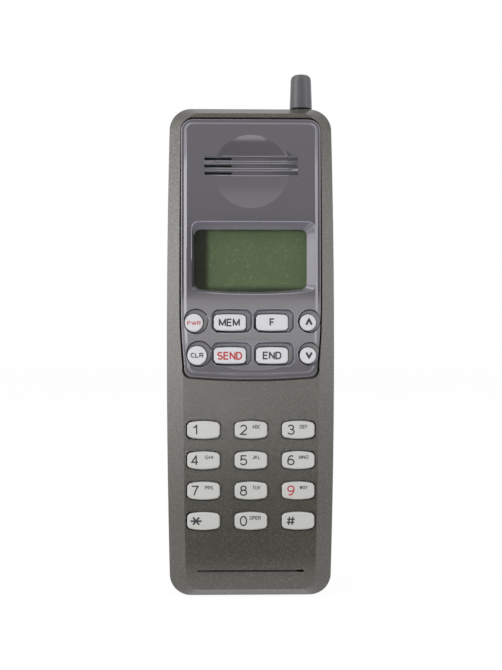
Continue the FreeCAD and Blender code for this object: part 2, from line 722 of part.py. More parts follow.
def key_body(key, rise, seat, room, reach):
    """Key with a flange behind its hole and a stem towards its mat.

    The flange starts at y = seat, lies inside room and spans reach across the telephone.
    """
    half_x = key.width / 2
    half_z = (key.tall or key.width) / 2
    back = seat + KEY_FLANGE_THICKNESS
    head = bevelled_head(key, rise).common(box(-FAR, FAR, -FAR, back, -FAR, LENGTH))
    low, high = key.z - half_z - KEY_FLANGE, key.z + half_z + KEY_FLANGE
    flange = box(reach[0], reach[1], -FRONT_DEPTH, back, low, high).common(room)
    stem = block_about(key, half_x - STEM_INSET, half_z - STEM_INSET, back - MERGE, STEM_END)
    return joined([head, flange, stem])


def block_about(key, half_x, half_z, y0, y1):
    """Box centred on a key."""
    return box(key.x - half_x, key.x + half_x, y0, y1, key.z - half_z, key.z + half_z)


def mat_pad(key):
    """Raised pad of the rubber mat behind a key."""
    half_x = key.width / 2 - STEM_INSET + PAD_SPREAD
    half_z = (key.tall or key.width) / 2 - STEM_INSET + PAD_SPREAD
    return block_about(key, half_x, half_z, PAD_FACE, MAT_FACE + MERGE)


def make_function_key(key):
    """Key cap that stands through the faceplate, its flange behind the housing's shelf."""
    seat = SHELF_BACK + KEY_SEAT
    half = key.width / 2 + KEY_FLANGE
    room = box(-FAR, FAR, seat, 0.0, -FAR, LENGTH)
    return key_body(key, PLATE_RISE + FUNCTION_PROUD, seat, room, (key.x - half, key.x + half))


def make_number_key(key):
    """Key cap that stands through the housing, its flange behind the housing's wall.

    Towards the side bevels the flange ends where the wall starts to come down.
    """
    reach = key.width / 2 + KEY_FLANGE
    wall = half_width(0.0) - WALL - BEVEL_WIDTH - KEY_SEAT
    left = max(key.x - reach, -wall)
    right = min(key.x + reach, wall)
    skin = -WALL - KEY_SEAT
    return key_body(key, NUMBER_PROUD, crown_y(key.z, skin), behind_tangent(key.z, skin, 0.0), (left, right))


# ---- faceplate -----------------------------------------------------------------------------------------
def well(key):
    """Cutters of a function key's well, which opens wider to the right and the top, and of its hole."""
    face = crown_y(key.z, PLATE_RISE)
    floor = face + WELL_DEPTH
    mouth = face - OVERRUN * WELL_DEPTH
    shift = (WELL_SHIFT_X, WELL_SHIFT_Z)
    floor_grow = KEY_GAP + WELL_FLOOR
    hole = prism(key.outline(KEY_GAP, 0.0), -FAR, 0.0)
    if key.tall is None:
        r = key.width / 2
        taper = Part.makeCone(
            r + ROUND_WELL_GROW, r + floor_grow, floor - mouth, V(key.x + shift[0], mouth, key.z + shift[1]), V(0, 1, 0))
    else:
        low = key.outline(floor_grow, floor, shift)
        high = key.outline(WELL_GROW_X, mouth, shift, WELL_GROW_Z)
        taper = Part.makeLoft([low, high], True, True)
    return taper, hole


def dish_cap():
    """Cutter of the ear dish: a turned cap, round below and flat where it stands past the face.

    Its surface is a spline, because the crown meets that cleanly at any size.
    """
    floor = crown_y(DISH_HEIGHT, PLATE_RISE) + DISH_DEPTH
    sphere_r = (DISH_R ** 2 + DISH_DEPTH ** 2) / (2 * DISH_DEPTH)

    def on_sphere(depth):
        return V(math.sqrt(sphere_r ** 2 - (sphere_r - depth) ** 2), floor - depth, DISH_HEIGHT)

    lowest = V(0, floor, DISH_HEIGHT)
    rim = on_sphere(DISH_DEPTH + CAP_OVER_FACE)
    middle = V(0, rim.y, DISH_HEIGHT)
    bow = Part.Arc(lowest, on_sphere(DISH_DEPTH / 2), rim).toShape()
    profile = Part.Wire([bow, Part.LineSegment(rim, middle).toShape(), Part.LineSegment(middle, lowest).toShape()])
    return Part.Face(profile).revolve(lowest, V(0, 1, 0), 360).toNurbs()


def make_faceplate():
    """Glossy slab with ear dish, speaker slots, display window and key wells."""
    rim = prism(plate_outline(0.0, 0.0), -FAR, SHELF_FRONT).common(
        behind_crown(PLATE_RISE - PLATE_RIM_DROP, SHELF_FRONT))
    slab = prism(plate_outline(-PLATE_RIM, 0.0), -FAR, SHELF_FRONT).common(
        behind_crown(PLATE_RISE, SHELF_FRONT))
    front = min(slab.Faces, key=lambda face: face.CenterOfMass.y)
    slab = slab.makeChamfer(PLATE_CHAMFER, front.Edges)
    plate = joined([rim, slab])

    plate = plate.cut(dish_cap())
    for k in range(GROOVE_COUNT):
        z = DISH_HEIGHT + (k - (GROOVE_COUNT - 1) / 2) * GROOVE_PITCH
        floor = crown_y(z, PLATE_RISE) + DISH_DEPTH + GROOVE_DEPTH
        plate = plate.cut(slot(GROOVE_LENGTH, GROOVE_WIDTH, 0, z, -FAR, floor))
        open_x = (SLOT_LENGTH - GROOVE_LENGTH) / 2 + SLOT_INSET
        plate = plate.cut(slot(SLOT_LENGTH, SLOT_WIDTH, open_x, z, -FAR, 0))

    plate = plate.cut(window_funnel())

    relief_z = LOWER_ROW + WELL_SHIFT_Z
    relief_floor = crown_y(relief_z, PLATE_RISE) + RELIEF_DEPTH
    relief = barrel(RELIEF_WIDTH, RELIEF_TALL, RELIEF_BOW, RELIEF_CORNER, WELL_SHIFT_X, relief_z, 0.0)
    plate = plate.cut(prism(relief, -FAR, relief_floor))
    for key in function_keys():
        taper, hole = well(key)
        plate = plate.cut(taper).cut(hole)
    return plate


# ---- housings ----------------------------------------------------------------------------------------
def screw_places():
    """The four housing screws as (x, z)."""
    return [(side * SCREW_X, z) for z in SCREW_HEIGHTS for side in (-1, 1)]


def board_screw_places():
    """The two board screws as (x, z)."""
    return [(x, BOARD_SCREW_HEIGHT) for x in BOARD_SCREW_X]


def antenna_passage():
    """Opening of the two housings for the bushing's collar, with a seat for its flange."""
    seat = LENGTH - WALL
    collar = upright(ANTENNA_X, 0, BUSHING_COLLAR_R + COLLAR_GAP, seat - 1.0, LENGTH + 1.0)
    flange = upright(ANTENNA_X, 0, BUSHING_FLANGE_R + COLLAR_GAP, seat - 2 * BUSHING_FLANGE_THICKNESS, seat)
    return collar.fuse(flange)


def connector_opening():
    """Cutter of the opening for the connector in the foot."""
    c = CONNECTOR_CLEAR
    deep = WALL + FOOT_BEVEL
    return box(-CONNECTOR_HALF - c, CONNECTOR_HALF + c, -CONNECTOR_FRONT - c, CONNECTOR_BACK + c, -1.0, deep)


def make_front_housing():
    """Front half-shell: crowned, bevelled, with a recessed shelf for the faceplate."""
    inside = front_form(WALL, 1.0)
    shell = front_form(0.0).cut(inside)
    shelf = prism(plate_outline(SHELF_LEDGE, 0.0), SHELF_FRONT, SHELF_BACK).common(front_form(WALL / 2))
    parts = [shell, shelf]
    for x, z in screw_places():
        parts.append(post(x, z, BOSS_R, -FAR, 0.0).common(front_form(WALL / 2)))
    for x, z in board_screw_places():
        parts.append(post(x, z, BOARD_BOSS_R, -FAR, LOGIC_FACE).common(front_form(WALL / 2)))
    body = joined(parts)

    mouth = -FRONT_DEPTH - PLATE_RISE
    recess = [plate_outline(PLATE_GAP, SHELF_FRONT), plate_outline(PLATE_GAP + RECESS_FLARE, mouth)]
    body = body.cut(Part.makeLoft(recess, True, True))

    for key in function_keys():
        half_x = key.width / 2 + KEY_GAP
        half_z = (key.tall or key.width) / 2 + KEY_GAP
        body = body.cut(block_about(key, half_x, half_z, SHELF_FRONT - 1.0, SHELF_BACK + 1.0))
    for key in number_keys():
        body = body.cut(prism(key.outline(NUMBER_GAP, 0.0), -FAR, LOGIC_FACE))
    body = body.cut(prism(window_outline(WINDOW_SLOPE - PANE_LEDGE, 0.0), SHELF_FRONT - 1.0, SHELF_BACK + 1.0))
    ear = box(-GROOVE_LENGTH / 2, SLOT_LENGTH + SLOT_INSET - GROOVE_LENGTH / 2, SHELF_FRONT - 1, SHELF_BACK + 1,
              DISH_HEIGHT - GROOVE_PITCH - 1, DISH_HEIGHT + GROOVE_PITCH + 1)
    body = body.cut(ear)

    slot_face = crown_y(MIC_SLOT_HEIGHT)
    body = body.cut(slot(MIC_SLOT_LENGTH, MIC_SLOT_WIDTH, 0, MIC_SLOT_HEIGHT, -FAR, slot_face + MIC_SLOT_DEPTH))
    open_x = (MIC_SLOT_LENGTH - MIC_OPEN_LENGTH) / 2
    body = body.cut(slot(MIC_OPEN_LENGTH, MIC_SLOT_WIDTH, open_x, MIC_SLOT_HEIGHT, -FAR, LOGIC_FACE))

    for x, z in screw_places():
        body = body.cut(post(x, z, SCREW_R + SCREW_FIT, SHELF_BACK + 1.0, 1.0))
    for x, z in board_screw_places():
        end = LOGIC_FACE - BOARD_SCREW_GRIP - SCREW_END
        body = body.cut(post(x, z, BOARD_SCREW_R + SCREW_FIT, end, LOGIC_FACE + 1.0))
    return body.cut(antenna_passage()).cut(connector_opening())


def bevelled_back():
    """Whole rear form of the telephone with its back edges bevelled."""
    form = back_form(0.0, 0.0, BACK_DEPTH)
    back = max(form.Faces, key=lambda face: face.CenterOfMass.y)
    return form.makeChamfer(BACK_EDGE, back.Edges)


def battery_lugs():
    """Headed lugs on the bay wall that the battery hooks over."""
    lugs = []
    for z in (LOWER_LUGS, UPPER_LUGS):
        for side in (-1, 1):
            x = side * LUG_X
            neck_end = BATTERY_INNER + LUG_CLEAR
            neck = box(x - LUG_NECK / 2, x + LUG_NECK / 2, BAY_WALL_BACK - MERGE, neck_end, z, z + LUG_LENGTH)
            head_end = neck_end + LUG_HEAD_THICKNESS
            head = box(x - LUG_HEAD / 2, x + LUG_HEAD / 2, neck_end, head_end, z, z + LUG_LENGTH)
            lugs.append(neck.fuse(head))
    return lugs


def catch_ramp_y(z, clear):
    """Y of the tooth's sloping flank at height z, moved outwards by clear."""
    start = CATCH_TOOTH_FOOT + CATCH_TOOTH_FLAT
    return CATCH_TOOTH_TIP - CATCH_RAMP * (z - start) + clear


def ramp_prism(half, y_root, foot, top, clear):
    """Bar with the sloping flank of the catch's tooth, for the tooth and for its pocket."""
    start = CATCH_TOOTH_FOOT + CATCH_TOOTH_FLAT + clear
    points = [
        V(-half, y_root, foot),
        V(-half, CATCH_TOOTH_TIP + clear, foot),
        V(-half, CATCH_TOOTH_TIP + clear, start),
        V(-half, catch_ramp_y(top, clear), top),
        V(-half, y_root, top),
        V(-half, y_root, foot),
    ]
    return Part.Face(Part.makePolygon(points)).extrude(V(2 * half, 0, 0))


def make_rear_housing():
    """Rear half-shell: battery bay below, full-depth head above, screw bosses and catch guide."""
    body = bevelled_back()
    body = body.cut(box(-FAR, FAR, BAY_WALL_BACK, FAR, -1.0, BAY_TOP))
    body = body.cut(back_form(WALL, -1.0, BAY_WALL_FRONT))
    head_room = back_form(WALL, -1.0, BACK_DEPTH - WALL).common(box(-FAR, FAR, -1, FAR, BAY_TOP + WALL, LENGTH))
    body = body.cut(head_room)
    rib_half = CATCH_HALF_WIDTH + CATCH_RIB_MARGIN
    rib_top = CATCH_HEIGHT + CATCH_HALF_TALL + CATCH_RIB_MARGIN
    rib = box(-rib_half, rib_half, CATCH_RIB_FRONT, CATCH_RIB_BACK, BAY_TOP + WALL / 2, rib_top)
    parts = [body, rib] + battery_lugs()
    for x, z in screw_places():
        back = BAY_WALL_BACK - MERGE if z < BAY_TOP else BACK_DEPTH - WALL / 2
        parts.append(post(x, z, REAR_BOSS_R, 0.0, back).common(back_form(WALL / 2, 0.0, BACK_DEPTH)))
    body = joined(parts)
    for x, z in screw_places():
        body = body.cut(post(x, z, SCREW_R + SCREW_CLEAR, -1.0, FAR))
        body = body.cut(rod(x, z, SCREW_HEAD_R + SCREW_CLEAR, SCREW_SEAT, FAR))
    button = box(-CATCH_HALF_WIDTH - CATCH_CLEAR, CATCH_HALF_WIDTH + CATCH_CLEAR, BACK_DEPTH - WALL - 1, FAR,
                 CATCH_HEIGHT - CATCH_HALF_TALL - CATCH_CLEAR, CATCH_HEIGHT + CATCH_HALF_TALL + CATCH_CLEAR)
    way = CATCH_ARM_HALF + CATCH_WAY
    arm_way = box(-way, way, -1, BAY_WALL_BACK + 1, CATCH_TOOTH_FOOT - CATCH_WAY, BAY_TOP - CATCH_WAY)
    stem_way = post(0, CATCH_HEIGHT, CATCH_STEM_R + CATCH_CLEAR, -1, BACK_DEPTH - WALL)
    body = body.cut(button).cut(arm_way).cut(stem_way)
    for x in PAD_X:
        half, reach = PAD_WIDTH / 2, PAD_LENGTH / 2 + PAD_ROOM
        body = body.cut(box(x - half, x + half, 0.0, BAY_WALL_BACK + 1, PAD_HEIGHT - reach, PAD_HEIGHT + reach))
    return body.cut(antenna_passage()).cut(connector_opening())


# ---- display -------------------------------------------------------------------------------------------
def panel_bounds(margin):
    """X and Z limits of the display stack, the window's clear opening plus margin."""
    x, z = WINDOW_X + WINDOW_SHIFT_X, WINDOW_HEIGHT + WINDOW_SHIFT_Z
    half_x = WINDOW_WIDTH / 2 - WINDOW_SLOPE + margin
    half_z = WINDOW_TALL / 2 - WINDOW_SLOPE + margin
    return x - half_x, x + half_x, z - half_z, z + half_z


PANEL_FACE = SHELF_BACK + 0.1
PANEL_BACK = PANEL_FACE + PANEL_THICKNESS
GUIDE_BACK = PANEL_BACK + GUIDE_THICKNESS


def make_display_window():
    """Clear pane in the shelf's opening."""
    outline = window_outline(WINDOW_SLOPE - PANE_LEDGE + PANE_GAP, 0.0)
    return prism(outline, SHELF_FRONT + 0.05, SHELF_FRONT + 0.05 + PANE_THICKNESS)


def make_lcd_panel():
    """Liquid crystal panel behind the pane."""
    x0, x1, z0, z1 = panel_bounds(PANEL_MARGIN)
    return box(x0, x1, PANEL_FACE, PANEL_BACK, z0, z1)


def make_light_guide():
    """Light guide behind the panel."""
    x0, x1, z0, z1 = panel_bounds(PANEL_MARGIN)
    return box(x0, x1, PANEL_BACK, GUIDE_BACK, z0, z1)


def make_lcd_frame():
    """Frame that holds the panel and the light guide on the board."""
    x0, x1, z0, z1 = panel_bounds(PANEL_MARGIN + FRAME_GAP)
    w = FRAME_WALL
    outer = box(x0 - w, x1 + w, PANEL_FACE, LOGIC_FACE, z0 - w, z1 + w)
    return outer.cut(box(x0, x1, PANEL_FACE - 1, GUIDE_BACK, z0, z1))


# ---- boards and what they carry --------------------------------------------------------------------------
def boss_notches(y0, y1):
    """Clearance cuts for the housing bosses in the edges of a board."""
    reach = REAR_BOSS_R + SCREW_CLEAR
    notches = []
    for x, z in screw_places():
        inner = abs(x) - reach
        low, high = (inner, FAR) if x > 0 else (-FAR, -inner)
        notches.append(box(low, high, y0, y1, z - reach, z + reach))
    return notches


def make_logic_board():
    """Logic board across the whole housing, with clearance for the screw bosses."""
    board = box(-BOARD_HALF, BOARD_HALF, LOGIC_FACE, LOGIC_BACK, BOARD_FOOT, BOARD_TOP)
    for notch in boss_notches(LOGIC_FACE - 1, LOGIC_BACK + 1):
        board = board.cut(notch)
    for x, z in board_screw_places():
        board = board.cut(rod(x, z, BOARD_SCREW_R + SCREW_CLEAR, LOGIC_FACE - 1, LOGIC_BACK + 1))
    return board.cut(antenna_clearance())


def antenna_clearance():
    """Room round the antenna's bushing."""
    return upright(ANTENNA_X, 0, BUSHING_FLANGE_R + BUSHING_ROOM, BUSHING_FOOT - 1, LENGTH)


def make_logic_chips():
    """Chips on the back of the logic board."""
    back = LOGIC_BACK + CHIP_THICKNESS
    chips = []
    for x, z, wide, tall in CHIPS:
        chips.append(box(x - wide / 2, x + wide / 2, LOGIC_BACK, back, z - tall / 2, z + tall / 2))
    return Part.Compound(chips)


def make_radio_board():
    """Radio board in the rear housing, with a notch for the battery catch."""
    board = box(-BOARD_HALF, RADIO_RIGHT, RADIO_FACE, RADIO_BACK, RADIO_FOOT, RADIO_TOP)
    for notch in boss_notches(RADIO_FACE - 1, RADIO_BACK + 1):
        board = board.cut(notch)
    half = CATCH_ARM_HALF + CATCH_ROOM
    return board.cut(box(-half, half, -FAR, FAR, CATCH_TOOTH_FOOT - CATCH_ROOM, LENGTH))


def make_radio_shield():
    """Sheet-metal can over the radio circuits."""
    x0, x1 = SHIELD_MARGIN - BOARD_HALF, RADIO_RIGHT - SHIELD_MARGIN
    front = RADIO_FACE - SHIELD_HEIGHT
    w = SHIELD_WALL
    can = box(x0, x1, front, RADIO_FACE, SHIELD_FOOT, SHIELD_TOP)
    return can.cut(box(x0 + w, x1 - w, front + w, RADIO_FACE + 1, SHIELD_FOOT + w, SHIELD_TOP - w))


def make_duplexer():
    """Ceramic duplexer block beside the shield."""
    left = DUPLEXER_LEFT
    top = DUPLEXER_FOOT + DUPLEXER_TALL
    return box(left, left + DUPLEXER_WIDTH, RADIO_FACE - SHIELD_HEIGHT, RADIO_FACE, DUPLEXER_FOOT, top)


def make_board_connector():
    """Header that joins the two boards."""
    foot = DUPLEXER_FOOT + DUPLEXER_TALL + PART_SPACE
    return box(HEADER_LEFT, HEADER_LEFT + HEADER_WIDTH, LOGIC_BACK, RADIO_FACE, foot, foot + HEADER_TALL)


def make_function_key_mat():
    """Rubber mat with a raised pad behind each function key."""
    mat = box(-MAT_HALF, MAT_HALF, MAT_FACE, LOGIC_FACE, LOWER_ROW - MAT_MARGIN, UPPER_ROW + MAT_MARGIN)
    pads = [mat_pad(key) for key in function_keys()]
    return joined([mat] + pads)


def make_number_key_mat():
    """Rubber mat with a raised pad behind each number key."""
    low = NUMBER_TOP_ROW - (len(NUMBER_ROWS) - 1) * NUMBER_PITCH_Z - MAT_MARGIN
    mat = box(-MAT_HALF, MAT_HALF, MAT_FACE, LOGIC_FACE, low, NUMBER_TOP_ROW + MAT_MARGIN)
    pads = [mat_pad(key) for key in number_keys()]
    mat = joined([mat] + pads)
    for notch in boss_notches(MAT_FACE - 1, LOGIC_FACE + 1):
        mat = mat.cut(notch)
    return mat


def make_earpiece():
    """Round receiver capsule behind the ear dish, held between its gasket and the logic board."""
    return rod(0, DISH_HEIGHT, EARPIECE_R, SHELF_BACK + GASKET_THICKNESS, LOGIC_FACE)


def make_earpiece_gasket():
    """Square foam frame that seals the receiver to the housing round the speaker slots."""
    back = SHELF_BACK + GASKET_THICKNESS
    outer = EARPIECE_R
    inner = outer - GASKET_WIDTH
    pad = box(-outer, outer, SHELF_BACK, back, DISH_HEIGHT - outer, DISH_HEIGHT + outer)
    return pad.cut(box(-inner, inner, SHELF_BACK - 1, back + 1, DISH_HEIGHT - inner, DISH_HEIGHT + inner))


def microphone_x():
    """The microphone lies behind the open end of its slot."""
    return (MIC_SLOT_LENGTH - MIC_OPEN_LENGTH) / 2


def microphone_front():
    """Y of the inner face of the housing at the microphone, with room for its slope."""
    return crown_y(MIC_SLOT_HEIGHT - MIC_R - MIC_BOOT_WALL) + WALL + BOOT_CLEAR


def make_microphone():
    """Microphone capsule."""
    return rod(microphone_x(), MIC_SLOT_HEIGHT, MIC_R, microphone_front() + BOOT_FACE, LOGIC_FACE)


def make_microphone_boot():
    """Eight-sided rubber boot round the microphone, open at the sound hole."""
    x = microphone_x()
    front = microphone_front()
    boot = post(x, MIC_SLOT_HEIGHT, MIC_R + MIC_BOOT_WALL, front, LOGIC_FACE)
    boot = boot.cut(rod(x, MIC_SLOT_HEIGHT, MIC_R, front + BOOT_FACE, LOGIC_FACE + 1))
    return boot.cut(rod(x, MIC_SLOT_HEIGHT, MIC_R / 2, front - 1, front + 1))


def make_ringer():
    """Ringer on the back of the logic board."""
    return rod(RINGER_X, RINGER_HEIGHT, RINGER_R, LOGIC_BACK, LOGIC_BACK + RINGER_THICKNESS)


# ---- foot connector ---------------------------------------------------------------------------------------
def contact_places():
    """X of each contact in the foot connector."""
    middle = (CONTACT_COUNT - 1) / 2
    return [(k - middle) * CONTACT_PITCH for k in range(CONTACT_COUNT)]


def contact_blade(x):
    """One flat contact in the connector's face."""
    half = CONTACT_WIDTH / 2
    return box(x - half, x + half, -CONTACT_FRONT, -CONTACT_BACK, CONNECTOR_INSET, CONNECTOR_INSET + CONTACT_DEPTH)


def make_system_connector():
    """Connector block in the foot."""
    block = box(-CONNECTOR_HALF, CONNECTOR_HALF, -CONNECTOR_FRONT, CONNECTOR_BACK, CONNECTOR_INSET, BOARD_FOOT)
    for x in contact_places():
        block = block.cut(contact_blade(x))
    return block


def make_connector_contacts():
    """Flat contacts in the connector's face."""
    return Part.Compound([contact_blade(x) for x in contact_places()])


# ---- antenna ----------------------------------------------------------------------------------------------
def make_antenna_tip():
    """Fat end cap of the whip, slightly tapered, with a domed end."""
    dome = TIP_TOP - TIP_DOME
    flat_r = TIP_TOP_R - TIP_DOME
    profile = [V(0, 0, TIP_BASE), V(TIP_R, 0, TIP_BASE)]
    for k in range(DOME_STEPS + 1):
        angle = math.radians(90.0 * k / DOME_STEPS)
        profile.append(V(flat_r + TIP_DOME * math.cos(angle), 0, dome + TIP_DOME * math.sin(angle)))
    profile += [V(0, 0, TIP_TOP), V(0, 0, TIP_BASE)]
    cap = Part.Face(Part.makePolygon(profile)).revolve(V(0, 0, 0), V(0, 0, 1), 360)
    cap.translate(V(ANTENNA_X, 0, 0))
    return cap.cut(upright(ANTENNA_X, 0, WHIP_R, TIP_BASE - 1, TIP_TOP - TIP_CAP))


def make_antenna_whip():
    """Thin rod that carries the tip."""
    return upright(ANTENNA_X, 0, WHIP_R, WHIP_FOOT, TIP_TOP - TIP_CAP)


def make_antenna_stop():
    """Sleeve at the foot of the whip that stops it in the bushing."""
    foot = WHIP_FOOT - STOP_FLOOR
    sleeve = upright(ANTENNA_X, 0, STOP_R, foot, foot + STOP_LENGTH)
    return sleeve.cut(upright(ANTENNA_X, 0, WHIP_R, WHIP_FOOT, foot + STOP_LENGTH + 1))


def make_antenna_bushing():
    """Metal bushing clamped between the housings, with the whip's running bore."""
    flange_top = LENGTH - WALL - BUSHING_SEAT
    body = upright(ANTENNA_X, 0, BUSHING_R, BUSHING_FOOT, flange_top)
    flange = upright(ANTENNA_X, 0, BUSHING_FLANGE_R, flange_top - BUSHING_FLANGE_THICKNESS, flange_top)
    collar = upright(ANTENNA_X, 0, BUSHING_COLLAR_R, flange_top, BUSHING_TOP)
    return joined([body, flange, collar]).cut(upright(ANTENNA_X, 0, BUSHING_BORE_R, 0, LENGTH + PAST_END))


def make_antenna_guide():
    """Tube that the whip slides down into."""
    tube = upright(ANTENNA_X, 0, GUIDE_R, GUIDE_FOOT, BUSHING_FOOT)
    return tube.cut(upright(ANTENNA_X, 0, GUIDE_BORE_R, GUIDE_FOOT + GUIDE_FLOOR, BUSHING_FOOT + 1))


def make_antenna_feed():
    """Springy strip from the radio board to the bushing."""
    top = BUSHING_FOOT + FEED_RISE
    front = RADIO_FACE - FEED_THICKNESS
    right = ANTENNA_X - BUSHING_R - FEED_LIP
    left = right - FEED_WIDTH
    strip = box(left, right, front, RADIO_FACE, RADIO_TOP - 2 * FEED_WIDTH, top)
    lip = box(left, ANTENNA_X, front, RADIO_FACE, top - 2 * FEED_WIDTH, top)
    return joined([strip, lip]).cut(upright(ANTENNA_X, 0, BUSHING_R, 0, LENGTH))


# ---- battery ----------------------------------------------------------------------------------------------
def battery_block():
    """Outer form of the battery, flush with the housing."""
    return bevelled_back().common(box(-FAR, FAR, BATTERY_FRONT, FAR, 0.0, BATTERY_TOP))


def battery_room():
    """Hollow inside the battery."""
    room = back_form(WALL, BATTERY_INNER, BACK_DEPTH - BATTERY_SKIN)
    return room.common(box(-FAR, FAR, -FAR, FAR, 0, BATTERY_TOP - BATTERY_SKIN))


def keyholes():
    """Openings in the battery's front wall that pass over the lugs."""
    holes = []
    for z in (LOWER_LUGS, UPPER_LUGS):
        for side in (-1, 1):
            x = side * LUG_X
            narrow = LUG_NECK / 2 + LUG_CLEAR
            wide = LUG_HEAD / 2 + LUG_CLEAR
            end = z + LUG_LENGTH + BATTERY_TRAVEL + LUG_CLEAR
            holes.append(box(x - narrow, x + narrow, 0, BATTERY_INNER + 0.1, z - LUG_CLEAR, end))
            holes.append(box(x - wide, x + wide, 0, BATTERY_INNER + 0.1, end - LUG_LENGTH - 2 * LUG_CLEAR, end))
    return holes


def make_battery_tray():
    """Front half of the battery case, with keyholes, contact pockets and the catch's pocket."""
    tray = battery_block().cut(battery_room()).common(box(-FAR, FAR, 0, BATTERY_SPLIT, -1, LENGTH))
    half = CATCH_ARM_HALF + CATCH_POCKET_WALL
    foot = CATCH_TOOTH_FOOT - CATCH_POCKET_WALL
    back = BATTERY_INNER + BATTERY_SKIN
    pocket_wall = box(-half, half, BATTERY_INNER - MERGE, back, foot, BATTERY_TOP - BATTERY_SKIN / 2)
    tray = joined([tray, pocket_wall])
    for hole in keyholes():
        tray = tray.cut(hole)
    foot, top = CATCH_TOOTH_FOOT - 2 * CATCH_CLEAR, CATCH_TOOTH_TOP + 4 * CATCH_CLEAR
    tray = tray.cut(ramp_prism(CATCH_ARM_HALF + CATCH_CLEAR, 0.0, foot, top, CATCH_CLEAR))
    for x in PAD_X:
        tray = tray.cut(pad_block(x))
    return tray


def pad_block(x):
    """One contact pad in the battery's front wall."""
    return box(x - PAD_WIDTH / 2, x + PAD_WIDTH / 2, BATTERY_FRONT, BATTERY_FRONT + PAD_THICKNESS,
               PAD_HEIGHT - PAD_LENGTH / 2, PAD_HEIGHT + PAD_LENGTH / 2)


def make_battery_pads():
    """Contact pads, flush with the battery's front wall."""
    return Part.Compound([pad_block(x) for x in PAD_X])


def make_battery_cover():
    """Rear half of the battery case, with thumb grooves."""
    cover = battery_block().cut(battery_room()).common(box(-FAR, FAR, BATTERY_SPLIT, FAR, -1, LENGTH))
    for k in range(GRIP_COUNT):
        z = GRIP_TOP - k * GRIP_PITCH
        section = [V(-GRIP_HALF, BACK_DEPTH + 0.1, z - GRIP_DEPTH - 0.1), V(-GRIP_HALF, BACK_DEPTH - GRIP_DEPTH, z),
                   V(-GRIP_HALF, BACK_DEPTH + 0.1, z + GRIP_DEPTH + 0.1)]
        groove = Part.Face(Part.makePolygon(section + section[:1])).extrude(V(2 * GRIP_HALF, 0, 0))
        cover = cover.cut(groove)
    return cover


def make_battery_cells():
    """Six flat cells in two rows of three."""
    cells = []
    middle = (BATTERY_INNER + BACK_DEPTH - BATTERY_SKIN) / 2
    for z in CELL_ROWS:
        for column in (-1, 0, 1):
            x = column * CELL_PITCH
            y0, y1 = middle - CELL_THICKNESS / 2, middle + CELL_THICKNESS / 2
            cell = box(x - CELL_WIDTH / 2, x + CELL_WIDTH / 2, y0, y1, z, z + CELL_LENGTH)
            upright_edges = [edge for edge in cell.Edges if abs(edge.BoundBox.ZLength - CELL_LENGTH) < 0.01]
            cells.append(cell.makeChamfer(CELL_EDGE, upright_edges))
    return Part.Compound(cells)


def make_battery_springs():
    """Bent contact blades that stand through the bay wall."""
    blades = []
    reach = BATTERY_FRONT - BLADE_GAP
    t = BLADE_THICKNESS
    bend = ((-BLADE_FOOT, RADIO_BACK), (-BLADE_TOP, reach - t), (BLADE_TOP, reach - t), (BLADE_FOOT, RADIO_BACK))
    for x in PAD_X:
        lower = [V(x - BLADE_WIDTH / 2, y, PAD_HEIGHT + z) for z, y in bend]
        upper = [point + V(0, t, 0) for point in reversed(lower)]
        face = Part.Face(Part.makePolygon(lower + upper + lower[:1]))
        blades.append(face.extrude(V(BLADE_WIDTH, 0, 0)))
    return Part.Compound(blades)


# ---- battery catch ----------------------------------------------------------------------------------------
CATCH_FLANGE_BACK = BACK_DEPTH - WALL - CATCH_CLEAR
CATCH_FLANGE_FRONT = CATCH_FLANGE_BACK - CATCH_LIP_THICKNESS


def make_battery_catch():
    """Push button in the head's back, its stem, and an arm with a sloping tooth in the battery."""
    w, t = CATCH_HALF_WIDTH, CATCH_HALF_TALL
    face = BACK_DEPTH - CATCH_SINK
    button = box(-w, w, CATCH_FLANGE_FRONT, face, CATCH_HEIGHT - t, CATCH_HEIGHT + t)
    w, t = w + CATCH_LIP, t + CATCH_LIP
    flange = box(-w, w, CATCH_FLANGE_FRONT, CATCH_FLANGE_BACK, CATCH_HEIGHT - t, CATCH_HEIGHT + t)
    stem = rod(0, CATCH_HEIGHT, CATCH_STEM_R, CATCH_ARM_FRONT, CATCH_FLANGE_BACK)
    arm = box(-CATCH_ARM_HALF, CATCH_ARM_HALF, CATCH_ARM_FRONT, CATCH_ARM_BACK,
              CATCH_TOOTH_FOOT, CATCH_HEIGHT + CATCH_STEM_R)
    tooth = ramp_prism(CATCH_ARM_HALF, CATCH_ARM_BACK - MERGE, CATCH_TOOTH_FOOT, CATCH_TOOTH_TOP, 0.0)
    return joined([button, flange, stem, arm, tooth])


def make_catch_spring():
    """Folded leaf spring between the rib and the button's flange, above the stem."""
    step = (CATCH_FLANGE_FRONT - CATCH_RIB_BACK - SPRING_THICKNESS) / SPRING_FOLDS
    foot = CATCH_HEIGHT + CATCH_STEM_R + CATCH_CLEAR
    fold = [V((-1) ** k * SPRING_REACH, CATCH_RIB_BACK + k * step, foot) for k in range(SPRING_FOLDS + 1)]
    thick = V(0, SPRING_THICKNESS, 0)
    legs = []
    for low, high in zip(fold, fold[1:]):
        leg = Part.Face(Part.makePolygon([low, high, high + thick, low + thick, low]))
        legs.append(leg.extrude(V(0, 0, SPRING_WIDTH)))
    return joined(legs)


# ---- screws -------------------------------------------------------------------------------------------------
def make_housing_screws():
    """Four screws that hold the housings together."""
    screws = []
    for x, z in screw_places():
        head = rod(x, z, SCREW_HEAD_R, SCREW_SEAT, SCREW_SEAT + SCREW_HEAD_THICKNESS)
        shank = rod(x, z, SCREW_R, SHELF_BACK + SCREW_TIP, SCREW_SEAT + MERGE)
        screws.append(joined([head, shank]))
    return Part.Compound(screws)


